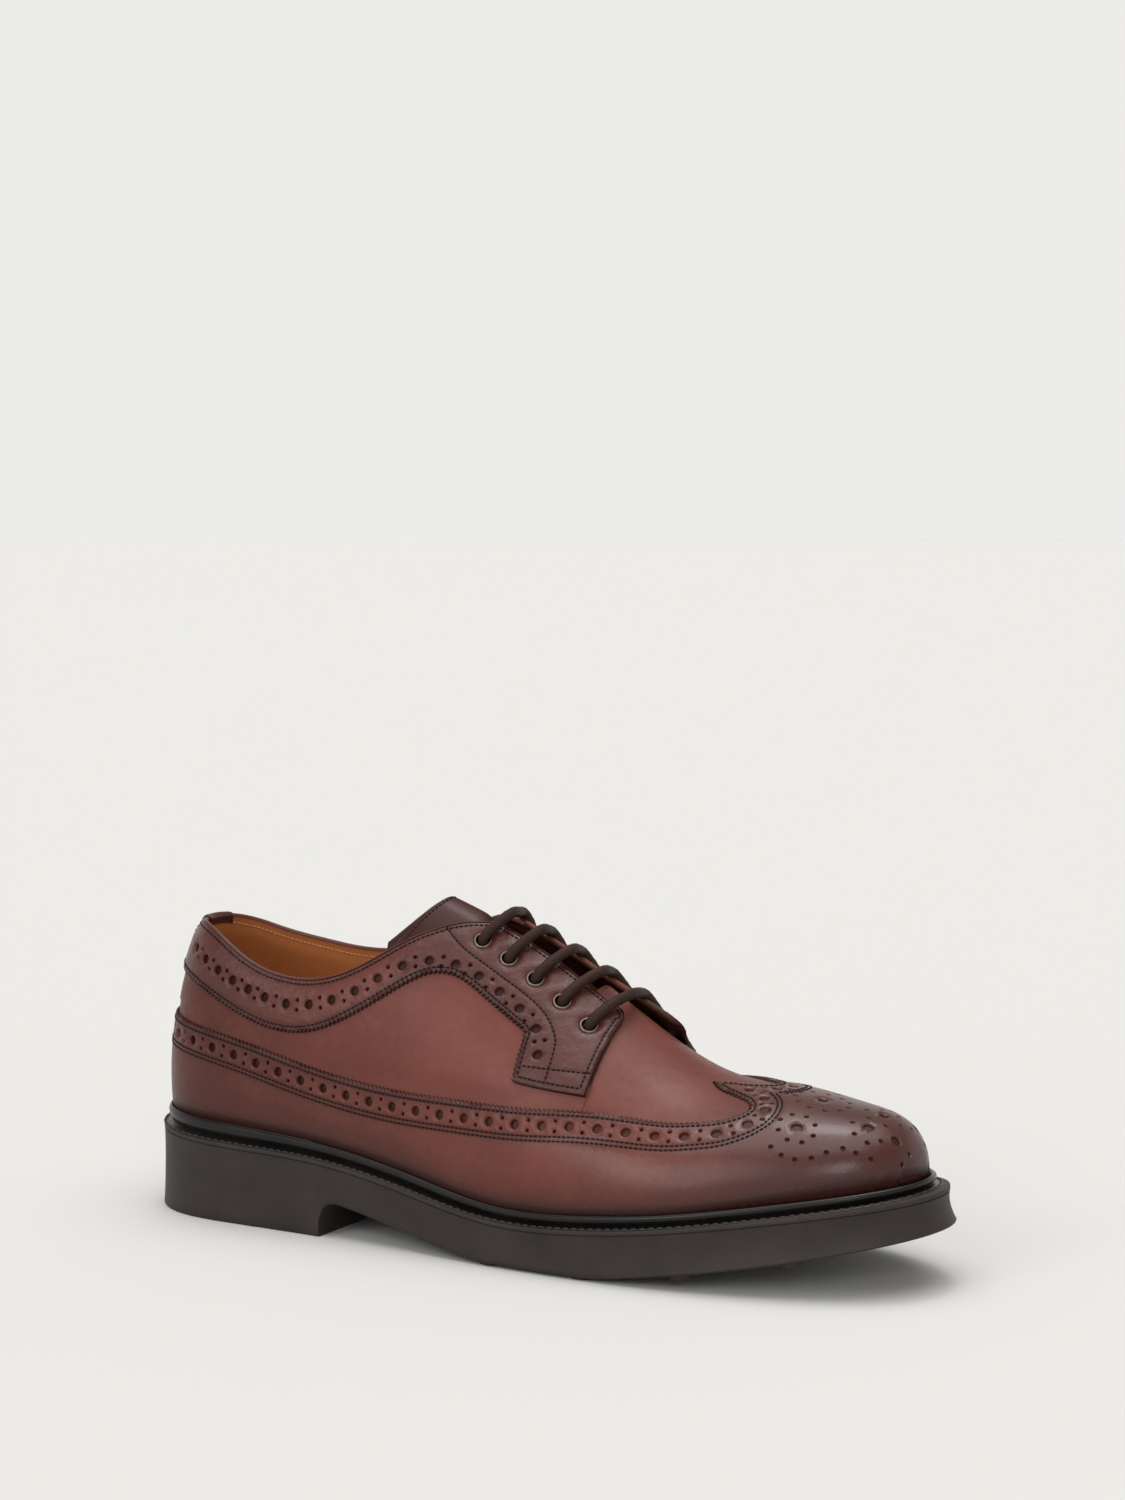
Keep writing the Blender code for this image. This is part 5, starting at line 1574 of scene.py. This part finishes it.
def build_lace(number):
    path = lace_path(number)
    ahead = unit(np.gradient(path, axis=0))
    across = unit(np.cross(ahead, [1.0, 0.0, 0.0]))
    angle = turns(LACE_SIDES)
    run = np.arange(LACE_RINGS)[:, None]
    weave = np.cos(6 * angle + 0.9 * run) + np.cos(6 * angle - 0.9 * run)
    radius = (LACE_RADIUS * (1 + LACE_WEAVE * weave))[..., None]
    up = np.cross(ahead, across)
    circle = np.cos(angle)[:, None] * across[:, None] + np.sin(angle)[:, None] * up[:, None]
    points = (path[:, None] + radius * circle).reshape(-1, 3)
    faces = grid_faces(LACE_RINGS, LACE_SIDES, closed=True)
    faces += [tuple(range(LACE_SIDES))[::-1], tuple(range(len(points) - LACE_SIDES, len(points)))]
    nodes = (f"lace_bar_{number + 1}",)
    add_piece(f"lace_{number + 1}", points, faces, CORD, nodes, tone=0.4)


# Floor, light and camera
def build_camera():
    data = bpy.data.cameras.new("camera")
    data.sensor_width = SENSOR
    data.lens = FOCAL_PIXELS * SENSOR / PHOTO_HEIGHT
    data.clip_end = CLIP_END
    camera = linked("camera", data)
    camera.location = to_frame(CAMERA_PLACE)
    camera.rotation_euler = (math.pi / 2 + math.radians(CAMERA_PITCH), 0.0, math.radians(CAMERA_YAW))
    bpy.context.scene.camera = camera


def build_floor():
    made, nodes, inputs = new_material("studio_floor")
    nodes.feed(inputs, {"Base Color": (*FLOOR_COLOUR, 1.0), "Roughness": 0.95, "Specular IOR Level": 0.0})
    mesh = bpy.data.meshes.new("floor")
    corners = [(x * FLOOR_SIZE, y * FLOOR_SIZE, 0) for x, y in ((-1, -1), (1, -1), (1, 1), (-1, 1))]
    mesh.from_pydata(corners, [], [(0, 1, 2, 3)])
    mesh.materials.append(made)
    floor = linked("floor", mesh)


def soft_sun(name, azimuth, elevation, spread, strength):
    """A far, wide light: even over the floor, with soft shadows."""
    data = bpy.data.lights.new(name, "SUN")
    data.angle = math.radians(spread)
    data.energy = strength
    az, el = math.radians(azimuth), math.radians(elevation)
    toward = Vector((math.cos(az) * math.cos(el), math.sin(az) * math.cos(el), math.sin(el)))
    light = linked(name, data)
    light.rotation_mode = "QUATERNION"
    light.rotation_quaternion = (-toward).to_track_quat("-Z", "Y")


def build_light():
    """Pale walls near the floor, a dim band above them and a wide softbox overhead."""
    world = bpy.data.worlds.new("studio")
    bpy.context.scene.world = world
    nodes = Nodes(world)
    up = nodes.add("SeparateXYZ", {"Vector": nodes.add("TexCoord", {}, "Generated")}, "Z")
    bands = nodes.ramp(up, [(level, tuple(c * shade for c in WORLD_COLOUR)) for level, shade in WORLD_BANDS])
    nodes.feed(nodes.tree.nodes["Background"].inputs, {"Color": bands, "Strength": WORLD_STRENGTH})
    for row in SUNS:
        soft_sun(*row)
    bpy.context.scene.view_settings.view_transform = "Standard"


build_shell("body_backing", BACKING, no_lift, UPPER_LEATHER, True, backing_tone)
build_shell("lining", LINING, lining_lift, LINING_LEATHER, False, lining_tone)
build_vamp()
build_wing()
build_heel_strip()
build_tongue()
build_outsole()
build_studs()
build_welt()
build_insole()
for word, side in SIDES.items():
    build_quarter(f"quarter_{word}", side)
    build_facing(f"facing_{word}", side)
    build_eyelets(word, side)
for number in range(EYELET_COUNT):
    build_lace(number)
build_stitches("stitching", THREAD)
build_stitches("lining_stitching", LINING_THREAD)
build_camera()
build_floor()
build_light()
